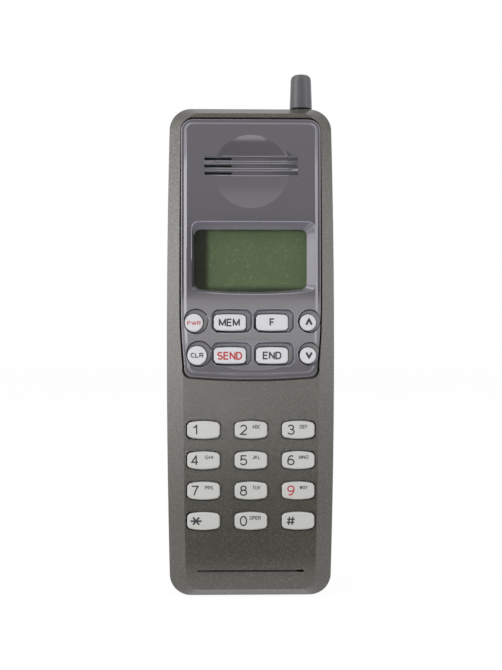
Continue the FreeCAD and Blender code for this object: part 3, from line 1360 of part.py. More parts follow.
def make_board_screws():
    """Two small six-sided screws that hold the logic board."""
    screws = []
    for x, z in board_screw_places():
        head = post(x, z, BOARD_SCREW_HEAD_R, LOGIC_BACK, LOGIC_BACK + BOARD_SCREW_HEAD, 6)
        shank = rod(x, z, BOARD_SCREW_R, LOGIC_FACE - BOARD_SCREW_GRIP, LOGIC_BACK + MERGE)
        screws.append(joined([head, shank]))
    return Part.Compound(screws)


def all_nodes():
    """Every piece by name."""
    nodes = {
        "front_housing": make_front_housing(),
        "rear_housing": make_rear_housing(),
        "faceplate": make_faceplate(),
        "display_window": make_display_window(),
        "lcd_panel": make_lcd_panel(),
        "light_guide": make_light_guide(),
        "lcd_frame": make_lcd_frame(),
        "logic_board": make_logic_board(),
        "logic_chips": make_logic_chips(),
        "radio_board": make_radio_board(),
        "radio_shield": make_radio_shield(),
        "duplexer": make_duplexer(),
        "board_connector": make_board_connector(),
        "function_key_mat": make_function_key_mat(),
        "number_key_mat": make_number_key_mat(),
        "earpiece": make_earpiece(),
        "earpiece_gasket": make_earpiece_gasket(),
        "microphone": make_microphone(),
        "microphone_boot": make_microphone_boot(),
        "ringer": make_ringer(),
        "system_connector": make_system_connector(),
        "connector_contacts": make_connector_contacts(),
        "antenna_tip": make_antenna_tip(),
        "antenna_whip": make_antenna_whip(),
        "antenna_stop": make_antenna_stop(),
        "antenna_bushing": make_antenna_bushing(),
        "antenna_guide": make_antenna_guide(),
        "antenna_feed": make_antenna_feed(),
        "battery_tray": make_battery_tray(),
        "battery_cover": make_battery_cover(),
        "battery_cells": make_battery_cells(),
        "battery_pads": make_battery_pads(),
        "battery_springs": make_battery_springs(),
        "battery_catch": make_battery_catch(),
        "catch_spring": make_catch_spring(),
        "housing_screws": make_housing_screws(),
        "board_screws": make_board_screws(),
    }
    for key in function_keys():
        nodes[key.name] = make_function_key(key)
    for key in number_keys():
        nodes[key.name] = make_number_key(key)
    return nodes


def main():
    """Write one STEP file per piece."""
    os.makedirs("parts", exist_ok=True)
    for name, shape in all_nodes().items():
        shape.exportStep(os.path.join("parts", name + ".step"))


main()
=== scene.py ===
"""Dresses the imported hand-held telephone: finishes, rounded mouldings, key legends, light and camera.

Lengths are metres. The telephone stands on its foot, and its front faces -Y.
"""

import json
import logging
import math
from collections.abc import Mapping
from dataclasses import dataclass, field
from enum import Enum

import bmesh
import bpy
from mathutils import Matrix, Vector
from mathutils.bvhtree import BVHTree
from mathutils.interpolate import poly_3d_calc
from mathutils.kdtree import KDTree

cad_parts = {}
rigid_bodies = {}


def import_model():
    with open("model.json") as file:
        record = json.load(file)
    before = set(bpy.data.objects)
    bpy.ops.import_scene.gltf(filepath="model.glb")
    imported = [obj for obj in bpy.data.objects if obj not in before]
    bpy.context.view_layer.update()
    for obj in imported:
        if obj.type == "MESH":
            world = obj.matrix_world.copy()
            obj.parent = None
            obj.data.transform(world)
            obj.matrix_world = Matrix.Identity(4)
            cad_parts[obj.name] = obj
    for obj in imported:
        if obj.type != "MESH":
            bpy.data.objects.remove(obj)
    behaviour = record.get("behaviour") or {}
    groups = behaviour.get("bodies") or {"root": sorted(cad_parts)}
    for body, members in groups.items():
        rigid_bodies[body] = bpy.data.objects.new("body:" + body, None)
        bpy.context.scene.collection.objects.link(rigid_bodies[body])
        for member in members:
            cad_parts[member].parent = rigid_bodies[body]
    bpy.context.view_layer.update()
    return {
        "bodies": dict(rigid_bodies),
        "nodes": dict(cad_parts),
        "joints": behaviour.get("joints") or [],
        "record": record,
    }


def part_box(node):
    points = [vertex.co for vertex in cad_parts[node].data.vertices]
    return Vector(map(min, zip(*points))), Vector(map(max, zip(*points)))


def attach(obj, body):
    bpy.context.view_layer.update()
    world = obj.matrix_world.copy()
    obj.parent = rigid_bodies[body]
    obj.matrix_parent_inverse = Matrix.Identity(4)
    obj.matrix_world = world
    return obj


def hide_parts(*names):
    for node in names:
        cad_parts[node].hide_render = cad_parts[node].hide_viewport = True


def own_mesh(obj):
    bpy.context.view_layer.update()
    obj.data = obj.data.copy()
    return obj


MM = 0.001
LOG = logging.getLogger("telephone")
Piece = bpy.types.Object
Mesh = bpy.types.Mesh
Shape = bmesh.types.BMesh
Node = bpy.types.Node
Socket = bpy.types.NodeSocket
Materials = dict[str, bpy.types.Material]
Colour = tuple[float, float, float, float]
Place = tuple[float, float, float]
Value = Socket | float | tuple[float, ...] | None
Inputs = Mapping[str | int, Value]
WHITE: Colour = (1.0, 1.0, 1.0, 1.0)


def linear(value: int) -> float:
    """Return an 8-bit display value as a linear share."""
    share = value / 255.0
    return share / 12.92 if share <= 0.04045 else ((share + 0.055) / 1.055) ** 2.4


def paint(red: int, green: int, blue: int) -> Colour:
    """Return the linear colour of an 8-bit display colour."""
    return linear(red), linear(green), linear(blue), 1.0


def placed(name: str, data: bpy.types.ID) -> Piece:
    """Put a new object into the scene.

    Args:
        name: Its name.
        data: Its mesh, lamp or camera.

    Returns:
        The object.
    """
    piece = bpy.data.objects.new(name, data)
    bpy.context.scene.collection.objects.link(piece)
    return piece


# ---- node trees ------------------------------------------------------------------------------------
class Family(Enum):
    """Kinds of node tree."""

    SHADER = "ShaderNode"
    GEOMETRY = "GeometryNode"


@dataclass(frozen=True)
class Wiring:
    """A node tree, with short ways to add nodes to it."""

    tree: bpy.types.NodeTree
    family: Family = Family.SHADER

    def feed(self, node: Node, inputs: Inputs) -> None:
        """Link or set sockets of a node.

        Args:
            node: The node.
            inputs: What goes into its sockets, by name or number. None leaves a socket as it is.
        """
        for socket, value in inputs.items():
            if isinstance(value, Socket):
                self.tree.links.new(value, node.inputs[socket])
            elif value is not None:
                node.inputs[socket].default_value = value

    def add(self, kind: str, inputs: Inputs | None = None, **settings: object) -> Node:
        """Add a node.

        Args:
            kind: Its type, without the family's name.
            inputs: What goes into its sockets.
            settings: Its other properties, which are set first because they decide its sockets.

        Returns:
            The node.
        """
        node = self.tree.nodes.new(self.family.value + kind)
        for name, value in settings.items():
            setattr(node, name, value)
        self.feed(node, inputs or {})
        return node

    def math(self, operation: str, first: Value, second: Value, **settings: object) -> Socket:
        """Return the sum, product or other result of two values."""
        return self.add("Math", {0: first, 1: second}, operation=operation, **settings).outputs[0]

    def vector(self, operation: str, inputs: Inputs) -> Socket:
        """Return the result of a vector operation."""
        return self.add("VectorMath", inputs, operation=operation).outputs[0]

    def mix(self, below: Value, above: Value, mask: Socket) -> Socket:
        """Return a colour laid over another by a mask."""
        return self.add("Mix", {"A": below, "B": above, "Factor": mask}, data_type="RGBA").outputs["Result"]


def start_group(
    name: str, family: Family, inputs: Mapping[str, str | float], outputs: Mapping[str, str]
) -> tuple[Wiring, Mapping[str, Socket], Node]:
    """Start a node group with named sockets.

    Args:
        name: The group's name.
        family: Its kind.
        inputs: The type of each input, or the default of an input that is a number.
        outputs: The type of each output.

    Returns:
        The group's wiring, the sockets with what it is given, and the node that takes its results.
    """
    tree = bpy.data.node_groups.new(name, family.value + "Tree")
    for way, sockets in (("INPUT", inputs), ("OUTPUT", outputs)):
        for socket, kind in sockets.items():
            number = isinstance(kind, float)
            kind_name = "NodeSocket" + ("Float" if number else kind)
            made = tree.interface.new_socket(name=socket, in_out=way, socket_type=kind_name)
            if number:
                made.default_value = kind
    return Wiring(tree, family), tree.nodes.new("NodeGroupInput").outputs, tree.nodes.new("NodeGroupOutput")


COARSE = 0.5                            # scale of the grain's larger cells, as a share of the finer
MARK_SCALE, MARK_DETAIL = 45.0, 4.0     # slow marks of handling
DUST_SCALE = 420.0
DUST_RADII = (0.05, 0.02)               # of a speck's soft edge, outer and inner, in cells
CLEAN = 0.8                             # share of the cells that hold no speck


class ShaderGroups:
    """Node groups that several finishes share."""

    def __init__(self) -> None:
        """Build the groups."""
        self.grain = self._grain()
        self.flakes = self._flakes()
        self.handling = self._handling()

    @staticmethod
    def _grain() -> bpy.types.NodeTree:
        """Build the fine moulded grain.

        Returns:
            A group that puts out a height from two sizes of noise.
        """
        wiring, given, result = start_group(
            "moulded_grain", Family.SHADER, {"Place": "Vector", "Scale": 3000.0}, {"Height": "Float"}
        )
        place, scale = given["Place"], given["Scale"]
        fine = wiring.add("TexNoise", {"Vector": place, "Scale": scale, "Detail": 2.0})
        coarse = wiring.math("MULTIPLY", scale, COARSE)
        cells = wiring.add("TexVoronoi", {"Vector": place, "Scale": coarse}, feature="SMOOTH_F1")
        wiring.feed(result, {"Height": wiring.math("ADD", fine.outputs["Fac"], cells.outputs["Distance"])})
        return wiring.tree

    @staticmethod
    def _flakes() -> bpy.types.NodeTree:
        """Build the metallic flakes.

        Returns:
            A group that puts out a mask of bright cells and a normal that tilts from cell to cell.
        """
        wiring, given, result = start_group(
            "metal_flakes", Family.SHADER, {"Place": "Vector", "Scale": 3000.0, "Share": 0.2, "Tilt": 0.3},
            {"Mask": "Float", "Normal": "Vector"},
        )
        cells = wiring.add("TexVoronoi", {"Vector": given["Place"], "Scale": given["Scale"]}).outputs["Color"]
        chance = wiring.add("SeparateColor", {0: cells}).outputs[0]
        least = wiring.math("SUBTRACT", 1.0, given["Share"])
        bright = wiring.add("MapRange", {"Value": chance, "From Min": least, "From Max": 1.0})
        centred = wiring.vector("SUBTRACT", {0: cells, 1: (0.5, 0.5, 0.5)})
        tilt = wiring.vector("SCALE", {0: centred, "Scale": given["Tilt"]})
        surface = wiring.add("NewGeometry").outputs["Normal"]
        normal = wiring.vector("NORMALIZE", {0: wiring.vector("ADD", {0: surface, 1: tilt})})
        wiring.feed(result, {"Mask": bright.outputs["Result"], "Normal": normal})
        return wiring.tree

    @staticmethod
    def _handling() -> bpy.types.NodeTree:
        """Build the soft marks of use.

        Returns:
            A group that puts out a mask that varies slowly, and sparse specks of dust.
        """
        wiring, given, result = start_group(
            "marks_of_use", Family.SHADER, {"Place": "Vector"}, {"Marks": "Float", "Dust": "Float"}
        )
        slow = wiring.add("TexNoise", {"Vector": given["Place"], "Scale": MARK_SCALE, "Detail": MARK_DETAIL})
        specks = wiring.add("TexVoronoi", {"Vector": given["Place"], "Scale": DUST_SCALE}).outputs
        outer, inner = DUST_RADII
        near = wiring.add("MapRange", {"Value": specks["Distance"], "From Min": outer, "From Max": inner})
        chance = wiring.add("SeparateColor", {0: specks["Color"]}).outputs[0]
        few = wiring.math("GREATER_THAN", chance, CLEAN)
        dust = wiring.math("MULTIPLY", near.outputs["Result"], few)
        wiring.feed(result, {"Marks": slow.outputs["Fac"], "Dust": dust})
        return wiring.tree


# ---- finishes --------------------------------------------------------------------------------------
MARKS = (0.3, 0.7)                      # range of the mask of use that changes the gloss
TONES = (0.96, 1.04)                    # darkest and lightest share of a finish's colour
LEAST_ROUGHNESS = 0.02
COAT_ROUGHNESS = 0.08
DUST_COLOUR: Colour = (0.7, 0.7, 0.68, 1.0)


@dataclass(frozen=True)
class Finish:
    """One finish of the telephone, made into a material with make."""

    name: str
    colour: Colour
    roughness: float = 0.4
    metallic: float = 0.0
    specular: float = 0.5
    coat: float = 0.0
    grain_scale: float = 3000.0
    grain_depth: float = 0.0
    flake_share: float = 0.0
    flake_scale: float = 3000.0
    flake_tilt: float = 0.0
    flake_colour: Colour = (0.8, 0.8, 0.8, 1.0)
    worn: float = 0.06
    dust: float = 0.0
    transmission: float = 0.0
    # Painted highlight laid on rounded edges and, in part, on slopes.
    edge_highlight_colour: Colour | None = None
    # Painted shade laid in narrow grooves.
    groove_shade_colour: Colour | None = None

    def make(self, groups: ShaderGroups) -> bpy.types.Material:
        """Build the material.

        Args:
            groups: The shared shader groups.

        Returns:
            The material.
        """
        material = bpy.data.materials.new(self.name)
        material.use_nodes = True
        wiring = Wiring(material.node_tree)
        shader = wiring.tree.nodes["Principled BSDF"]
        place = wiring.add("TexCoord").outputs["Object"]
        use = wiring.add("Group", {"Place": place}, node_tree=groups.handling).outputs
        rough = wiring.add("MapRange", {
            "Value": use["Marks"], "From Min": MARKS[0], "From Max": MARKS[1],
            "To Min": max(self.roughness - self.worn, LEAST_ROUGHNESS), "To Max": self.roughness + self.worn,
        })
        dark, light = (tuple(min(tone * part, 1.0) for part in self.colour[:3]) + (1.0,) for tone in TONES)
        colour, normal = wiring.mix(dark, light, use["Marks"]), None
        if self.flake_share > 0.0:
            flakes = wiring.add("Group", {
                "Place": place, "Scale": self.flake_scale, "Share": self.flake_share, "Tilt": self.flake_tilt,
            }, node_tree=groups.flakes).outputs
            colour, normal = wiring.mix(colour, self.flake_colour, flakes["Mask"]), flakes["Normal"]
        colour = self.shade(wiring, place, colour)
        # Painted highlight on rounded edges and slopes, and painted shade in narrow grooves.
        for name, above in (("rounding", self.edge_highlight_colour), ("groove", self.groove_shade_colour)):
            if above is not None:
                mark = wiring.add("Attribute", attribute_name=name).outputs["Fac"]
                colour = wiring.mix(colour, above, mark)
        if self.dust > 0.0:
            colour = wiring.mix(colour, DUST_COLOUR, wiring.math("MULTIPLY", use["Dust"], self.dust))
        if self.grain_depth > 0.0:
            grain = wiring.add("Group", {"Place": place, "Scale": self.grain_scale}, node_tree=groups.grain)
            height = grain.outputs["Height"]
            bump = wiring.add("Bump", {"Distance": self.grain_depth, "Height": height, "Normal": normal})
            normal = bump.outputs["Normal"]
        wiring.feed(shader, {
            "Base Color": colour, "Roughness": rough.outputs["Result"], "Normal": normal,
            "Metallic": self.metallic, "Specular IOR Level": self.specular, "Coat Weight": self.coat,
            "Coat Roughness": COAT_ROUGHNESS, "Transmission Weight": self.transmission,
        })
        return material

    def shade(self, wiring: Wiring, place: Socket, colour: Socket) -> Socket:
        """Return the colour as it is; a finish that varies over its piece changes it here."""
        return colour


@dataclass(frozen=True)
class LiquidCrystal(Finish):
    """Green display, darker beside its left and lower edges by painted shadow of the deep window's walls."""

    # Painted shadow of the window's walls: its colour, where its strips end, and how soft their edges are.
    painted_shadow_colour: Colour = (0.02, 0.02, 0.02, 1.0)
    left_shadow_edge: float = -15.0 * MM
    lower_shadow_edge: float = 109.0 * MM
    shadow_softness: float = 1.3 * MM

    def shade(self, wiring: Wiring, place: Socket, colour: Socket) -> Socket:
        """Paint the shadow of the window's walls beside the left and lower edges.

        Args:
            wiring: The material's wiring.
            place: Object coordinates.
            colour: The colour so far.

        Returns:
            The banded colour.
        """
        sides = wiring.add("SeparateXYZ", {0: place}).outputs
        for axis, edge in (("X", self.left_shadow_edge), ("Z", self.lower_shadow_edge)):
            shadow_mask = wiring.add("MapRange", {
                "Value": sides[axis], "From Min": edge + self.shadow_softness, "From Max": edge - self.shadow_softness,
            }, interpolation_type="SMOOTHSTEP")
            colour = wiring.mix(colour, self.painted_shadow_colour, shadow_mask.outputs["Result"])
        return colour


FINISHES = (
    # The housing's near-black grooves are painted shade.
    Finish("housing_grey", paint(64, 61, 54), 0.24, specular=0.8, grain_depth=0.000006, grain_scale=3600.0,
           flake_share=0.35, flake_scale=4200.0, flake_tilt=0.08, flake_colour=paint(92, 88, 80), worn=0.03,
           groove_shade_colour=paint(5, 5, 5)),
    # The faceplate's lighter edges and slopes are painted highlight.
    Finish("faceplate_gloss", paint(84, 81, 86), 0.07, specular=0.5, coat=0.7, dust=0.5, worn=0.02,
           edge_highlight_colour=paint(142, 139, 152)),
    Finish("clear_pane", (0.95, 0.96, 0.94, 1.0), 0.03, transmission=1.0, worn=0.01),
    # The display's dark left and lower strips are painted shadow.
    LiquidCrystal("lcd_green", paint(83, 98, 69), 0.4, specular=0.1, flake_share=0.05, flake_scale=2600.0,
                  flake_tilt=0.0, flake_colour=paint(116, 130, 98), painted_shadow_colour=paint(38, 44, 30)),
    Finish("light_guide", paint(205, 210, 195), 0.5),
    Finish("inner_plastic", paint(40, 40, 41), 0.5, grain_depth=0.00001),
    Finish("board_green", paint(26, 84, 48), 0.35),
    Finish("chip_black", paint(30, 30, 32), 0.5, grain_depth=0.00001),
    Finish("tinned_steel", paint(190, 190, 186), 0.35, metallic=1.0),
    Finish("ceramic", paint(214, 205, 186), 0.5),
    Finish("dust_cloth", paint(14, 14, 15), 0.9, specular=0.1),
    Finish("mat_rubber", paint(70, 70, 71), 0.7, grain_depth=0.00001),
    Finish("gold_contact", paint(214, 178, 104), 0.25, metallic=1.0),
    Finish("antenna_plastic", paint(72, 71, 75), 0.32, grain_depth=0.00001, grain_scale=4000.0),
    Finish("whip_steel", paint(176, 176, 178), 0.25, metallic=1.0),
    Finish("dark_metal", paint(46, 46, 48), 0.35, metallic=0.6),
    Finish("battery_grey", paint(67, 64, 57), 0.34, specular=0.75, grain_depth=0.000008, grain_scale=3000.0,
           flake_share=0.35, flake_scale=4200.0, flake_tilt=0.08, flake_colour=paint(94, 90, 82)),
    Finish("cell_steel", paint(186, 186, 188), 0.3, metallic=1.0),
    Finish("catch_grey", paint(78, 76, 72), 0.5, grain_depth=0.00002),
    Finish("function_key", paint(195, 195, 198), 0.3, worn=0.04),
    Finish("number_key", paint(184, 184, 180), 0.34, worn=0.04),
    Finish("legend_dark", paint(42, 42, 48), 0.4),
    Finish("legend_red", paint(170, 44, 48), 0.4),
)


# ---- mouldings taken over from the construction ----------------------------------------------------
SLOPES = (0.3, 0.93)    # how far a face looks to the front when it counts as a slope, which takes painted highlight
SLOPE_HIGHLIGHT_SHARE = 0.45      # how much of the painted edge highlight a slope takes
NARROW = 1.1 * MM       # widest groove whose walls and floor get painted shade
TOUCH = 0.02 * MM       # a point nearer than this lies on a surface
SAME_WAY = 0.985        # least product of two normals that look the same way
ALIKE = 0.9             # the same, for normals that may differ a little
INWARD = 0.02           # share of the way into its face at which a corner is looked up
LEAST_WEIGHT = 0.1      # an edge with less stays sharp
FLAT = math.radians(0.3)    # widest angle between faces that are laid together
SPECK = 1e-10           # area under which a rounded face isn't judged
LOOSE = 0.8             # radii by which a rounded face may leave the construction
TURNED = 0.2            # least product of its normal with the construction's
REACH = 1.6             # radii round a bad face within which corners lose rounding
RIM_WIDTH = 0.25 * MM   # how far a corner of a rim may lie off its circle


@dataclass
class Moulding:
    """A visible piece of the construction with its edges rounded."""

    node: str
    body: str
    finish: str
    radius: float = 0.2 * MM
    segments: int = 2
    sharp: float = 24.0             # degrees; an edge that turns by more is rounded
    back: float = 1.0               # an edge that lies further back than this isn't
    rounds: int = 12                # tries at a rounding that tears nowhere
    merge: float = 0.002 * MM       # corners nearer than this become one
    rim: Place | None = None        # x, z and radius of a shallow round edge that stays a crease

    def make(self, frame: dict, materials: Materials) -> Piece:
        """Round a copy of the node and let it stand for the node.

        Args:
            frame: The loaded frame.
            materials: The finished materials by name.

        Returns:
            The new piece.
        """
        node = frame["nodes"][self.node]
        ground = BVHTree.FromObject(node, bpy.context.evaluated_depsgraph_get())
        shape = self.welded(node.data)
        weights = shape.edges.layers.float.new("bevel_weight_edge")
        sharp = [edge for edge in shape.edges if self.is_sharp(edge)]
        for edge in sharp:
            edge[weights] = 1.0
        corners = {vertex.index: vertex for edge in sharp for vertex in edge.verts}
        nearest = KDTree(len(corners))
        for index, vertex in corners.items():
            nearest.insert(vertex.co, index)
        nearest.balance()
        for turn in range(self.rounds):
            mesh = self.rounded(shape, weights)
            hurt = self.torn(mesh, ground, nearest)
            if not hurt:
                break
            share = 0.5 if turn < self.rounds // 2 else 0.0
            for index in hurt:
                for edge in corners[index].link_edges:
                    weight = share * edge[weights]
                    edge[weights] = weight if weight > LEAST_WEIGHT else 0.0
        shape.free()
        self.follow_ground(mesh, node.data, ground)
        self.mark_grooves(mesh, ground)
        piece = placed(self.node + "_moulding", mesh)
        mesh.materials.clear()
        mesh.materials.append(materials[self.finish])
        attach(piece, self.body)
        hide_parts(self.node)
        return piece

    def welded(self, mesh: Mesh) -> Shape:
        """Return a merged copy of a mesh, in triangles, with flat faces laid out afresh.

        Args:
            mesh: The mesh.

        Returns:
            The copy.
        """
        shape = bmesh.new()
        shape.from_mesh(mesh)
        bmesh.ops.remove_doubles(shape, verts=shape.verts, dist=self.merge)
        bmesh.ops.dissolve_limit(
            shape, angle_limit=FLAT, verts=shape.verts, edges=shape.edges, use_dissolve_boundaries=False
        )
        bmesh.ops.triangulate(shape, faces=shape.faces, ngon_method="BEAUTY", quad_method="BEAUTY")
        shape.verts.ensure_lookup_table()
        return shape

    def is_sharp(self, edge: bmesh.types.BMEdge) -> bool:
        """Tell whether an edge is to be rounded."""
        seen = min(vertex.co.y for vertex in edge.verts) < self.back
        return seen and edge.is_manifold and edge.calc_face_angle(0.0) > math.radians(self.sharp)

    def on_rim(self, edge: bmesh.types.BMEdge) -> bool:
        """Tell whether an edge lies on the shallow rim."""
        if self.rim is None:
            return False
        x, z, radius = self.rim
        away = (abs(math.hypot(vertex.co.x - x, vertex.co.z - z) - radius) for vertex in edge.verts)
        return max(away) < RIM_WIDTH

    def rounded(self, shape: Shape, weights: bmesh.types.BMLayerItem) -> Mesh:
        """Return a mesh with its edges rounded by their weights.

        Args:
            shape: The welded copy.
            weights: The weight of each edge.

        Returns:
            The rounded mesh.
        """
        for edge in shape.edges:
            crease = edge.calc_face_angle(0.0) > math.radians(self.sharp) or self.on_rim(edge)
            edge.smooth = not crease or edge[weights] > 0.0
        mesh = bpy.data.meshes.new(self.node + "_moulding")
        shape.to_mesh(mesh)
        for polygon in mesh.polygons:
            polygon.use_smooth = True
        piece = placed("moulding", mesh)
        bevel = piece.modifiers.new("edges", "BEVEL")
        bevel.width = self.radius
        bevel.segments = self.segments
        bevel.limit_method = "WEIGHT"
        bevel.use_clamp_overlap = False
        bevel.harden_normals = True
        settle(piece)
        mesh = piece.data
        bpy.data.objects.remove(piece)
        return mesh

    @staticmethod
    def follow_ground(mesh: Mesh, source: Mesh, ground: BVHTree) -> None:
        """Give the faces that still lie on the construction its normals, and mark the others as rounding and
        the slopes partly so, for painted highlight.

        Args:
            mesh: The rounded mesh.
            source: The construction's mesh.
            ground: The construction's surface.
        """
        normals = [corner.vector.copy() for corner in mesh.corner_normals]
        # The rounding mask lightens rounded edges and slopes as painted highlight where a finish asks for it.
        rounding = mesh.attributes.new("rounding", "FLOAT", "CORNER").data
        for polygon in mesh.polygons:
            _, flat, _, away = ground.find_nearest(polygon.center)
            if away > TOUCH or polygon.normal.dot(flat) < SAME_WAY:
                for loop in polygon.loop_indices:
                    rounding[loop].value = 1.0
                continue
            for loop in polygon.loop_indices:
                rounding[loop].value = SLOPE_HIGHLIGHT_SHARE if SLOPES[0] < -polygon.normal.y < SLOPES[1] else 0.0
                corner = mesh.vertices[mesh.loops[loop].vertex_index].co
                spot, _, index, _ = ground.find_nearest(corner.lerp(polygon.center, INWARD))
                face = source.polygons[index]
                shares = poly_3d_calc([source.vertices[k].co for k in face.vertices], spot)
                found = (source.corner_normals[k].vector for k in face.loop_indices)
                blend = sum((normal * share for normal, share in zip(found, shares)), Vector())
                if blend.dot(face.normal) > ALIKE:
                    normals[loop] = blend.normalized()
        mesh.normals_split_custom_set(normals)

    @staticmethod
    def mark_grooves(mesh: Mesh, ground: BVHTree) -> None:
        """Mark the walls and floors of narrow level grooves, where a finish paints shade.

        Args:
            mesh: The rounded mesh.
            ground: The construction's surface.
        """
        # The groove mask carries painted shade.
        groove = mesh.attributes.new("groove", "FLOAT", "CORNER").data
        up = Vector((0.0, 0.0, 1.0))
        for polygon in mesh.polygons:
            start = polygon.center + TOUCH * polygon.normal
            if abs(polygon.normal.z) > ALIKE:
                inside = ground.ray_cast(start, polygon.normal, NARROW)[0] is not None
            else:
                inside = all(ground.ray_cast(start, way, NARROW)[0] is not None for way in (up, -up))
            for loop in polygon.loop_indices:
                groove[loop].value = 1.0 if inside else 0.0

    def torn(self, mesh: Mesh, ground: BVHTree, nearest: KDTree) -> set[int]:
        """Find the corners near which the rounding has turned a face over or moved it away.

        Args:
            mesh: The rounded mesh.
            ground: The construction's surface.
            nearest: The corners of the sharp edges.

        Returns:
            Their indices.
        """
        hurt = set()
        shape = bmesh.new()
        shape.from_mesh(mesh)
        bmesh.ops.triangulate(shape, faces=shape.faces)
        for face in shape.faces:
            if face.calc_area() < SPECK:
                continue
            _, normal, _, away = ground.find_nearest(face.calc_center_median())
            if away > LOOSE * self.radius + TOUCH or face.normal.dot(normal) < TURNED:
                for vertex in face.verts:
                    hurt.update(index for _, index, _ in nearest.find_range(vertex.co, REACH * self.radius))
        shape.free()
        return hurt


def settle(piece: Piece) -> None:
    """Turn a piece's modifiers into plain mesh.

    Args:
        piece: The piece, whose modifiers are taken off.
    """
    graph = bpy.context.evaluated_depsgraph_get()
    mesh = bpy.data.meshes.new_from_object(piece.evaluated_get(graph), depsgraph=graph)
    piece.modifiers.clear()
    piece.data = mesh


# ---- legends ---------------------------------------------------------------------------------------
Stroke = tuple[tuple[float, float], ...]


def bow(x: float, y: float, wide: float, tall: float, start: float, end: float, steps: int = 12) -> Stroke:
    """Points along an elliptical bow.

    Args:
        x: Middle of the bow.
        y: Middle of the bow.
        wide: Half of its width.
        tall: Half of its height.
        start: First angle in degrees, counterclockwise from the right.
        end: Last angle.
        steps: Number of pieces.

    Returns:
        The points.
    """
    angles = (math.radians(start + (end - start) * k / steps) for k in range(steps + 1))
    return tuple((x + wide * math.cos(angle), y + tall * math.sin(angle)) for angle in angles)


SIX = (bow(0.3, 0.3, 0.3, 0.3, 0, 360), ((0, 0.3), (0.03, 0.6), (0.14, 0.87), (0.32, 1), (0.53, 0.92)))
P_BOW = bow(0.36, 0.74, 0.26, 0.26, 80, -80, 8)
P_SHAPE = ((0, 0), (0, 1), (0.36, 1)) + P_BOW + ((0.36, 0.48), (0, 0.48))
GLYPHS: dict[str, tuple[Stroke, ...]] = {
    "A": (((0, 0), (0.35, 1), (0.7, 0)), ((0.13, 0.36), (0.57, 0.36))),
    "B": (((0, 0), (0, 1), (0.36, 1)) + bow(0.36, 0.77, 0.22, 0.23, 80, -90, 8) + ((0, 0.54),),
          ((0.36, 0.54),) + bow(0.36, 0.27, 0.27, 0.27, 80, -90, 8) + ((0, 0),)),
    "C": (bow(0.37, 0.5, 0.37, 0.5, 48, 312),),
    "D": (((0, 0), (0, 1), (0.28, 1)) + bow(0.28, 0.5, 0.38, 0.5, 80, -80) + ((0.28, 0), (0, 0)),),
    "E": (((0.6, 1), (0, 1), (0, 0), (0.6, 0)), ((0, 0.53), (0.54, 0.53))),
    "F": (((0.58, 1), (0, 1), (0, 0)), ((0, 0.52), (0.5, 0.52))),
    "G": (bow(0.38, 0.5, 0.38, 0.5, 50, 340) + ((0.74, 0.46), (0.42, 0.46)),),
    "H": (((0, 0), (0, 1)), ((0.64, 0), (0.64, 1)), ((0, 0.53), (0.64, 0.53))),
    "I": (((0, 0), (0, 1)),),
    "J": (((0.45, 1), (0.45, 0.24)) + bow(0.225, 0.24, 0.225, 0.24, -10, -180, 8),),
    "K": (((0, 0), (0, 1)), ((0.6, 1), (0, 0.36)), ((0.2, 0.56), (0.64, 0))),
    "L": (((0, 1), (0, 0), (0.52, 0)),),
    "M": (((0, 0), (0, 1), (0.4, 0.12), (0.8, 1), (0.8, 0)),),
    "N": (((0, 0), (0, 1), (0.64, 0), (0.64, 1)),),
    "O": (bow(0.38, 0.5, 0.38, 0.5, 90, 450, 20),),
    "P": (P_SHAPE,),
    "R": (P_SHAPE, ((0.34, 0.48), (0.64, 0))),
    "S": (bow(0.31, 0.75, 0.29, 0.25, 25, 250, 10) + bow(0.31, 0.26, 0.31, 0.26, 70, -155, 10),),
    "T": (((0, 1), (0.64, 1)), ((0.32, 1), (0.32, 0))),
    "U": (((0, 1), (0, 0.3)) + bow(0.32, 0.3, 0.32, 0.3, 190, 350, 8) + ((0.64, 0.3), (0.64, 1)),),
    "V": (((0, 1), (0.34, 0), (0.68, 1)),),
    "W": (((0, 1), (0.24, 0), (0.48, 0.92), (0.72, 0), (0.96, 1)),),
    "X": (((0, 0), (0.66, 1)), ((0, 1), (0.66, 0))),
    "Y": (((0, 1), (0.34, 0.46), (0.68, 1)), ((0.34, 0.46), (0.34, 0))),
    "0": (bow(0.32, 0.5, 0.32, 0.5, 90, 450, 20),),
    "1": (((0, 0.76), (0.14, 0.81), (0.28, 1), (0.28, 0)),),
    "2": (bow(0.31, 0.7, 0.29, 0.3, 165, -38, 10) + ((0, 0), (0.62, 0)),),
    "3": (bow(0.3, 0.76, 0.26, 0.24, 160, -80, 10) + ((0.22, 0.52),),
          bow(0.3, 0.27, 0.31, 0.26, 95, -160, 10)),
    "4": (((0.46, 0), (0.46, 1), (0, 0.3), (0.64, 0.3)),),
    "5": (((0.56, 1), (0.1, 1), (0.04, 0.5)) + bow(0.29, 0.32, 0.31, 0.32, 125, -155, 11),),
    "6": SIX,
    "7": (((0, 1), (0.6, 1), (0.36, 0.5), (0.22, 0)),),
    "8": (bow(0.3, 0.77, 0.25, 0.23, 90, 450, 16), bow(0.3, 0.27, 0.3, 0.27, 90, 450, 16)),
    "9": tuple(tuple((0.6 - x, 1 - y) for x, y in stroke) for stroke in SIX),
    "*": (((0, 0.5), (1, 0.5)), ((0.22, 0), (0.78, 1)), ((0.78, 0), (0.22, 1))),
    "#": (((0.2, 0), (0.32, 1)), ((0.58, 0), (0.7, 1)),
          ((0, 0.32), (0.84, 0.32)), ((0.06, 0.68), (0.9, 0.68))),
    "^": (((0, 0), (0.5, 1), (1, 0)),),
    "v": (((0, 1), (0.5, 0), (1, 1)),),
}
LETTER_GAP = 0.26       # between two letters, as a share of their height
LEAST_SPAN = 0.01       # width of a letter that is one upright, which isn't widened
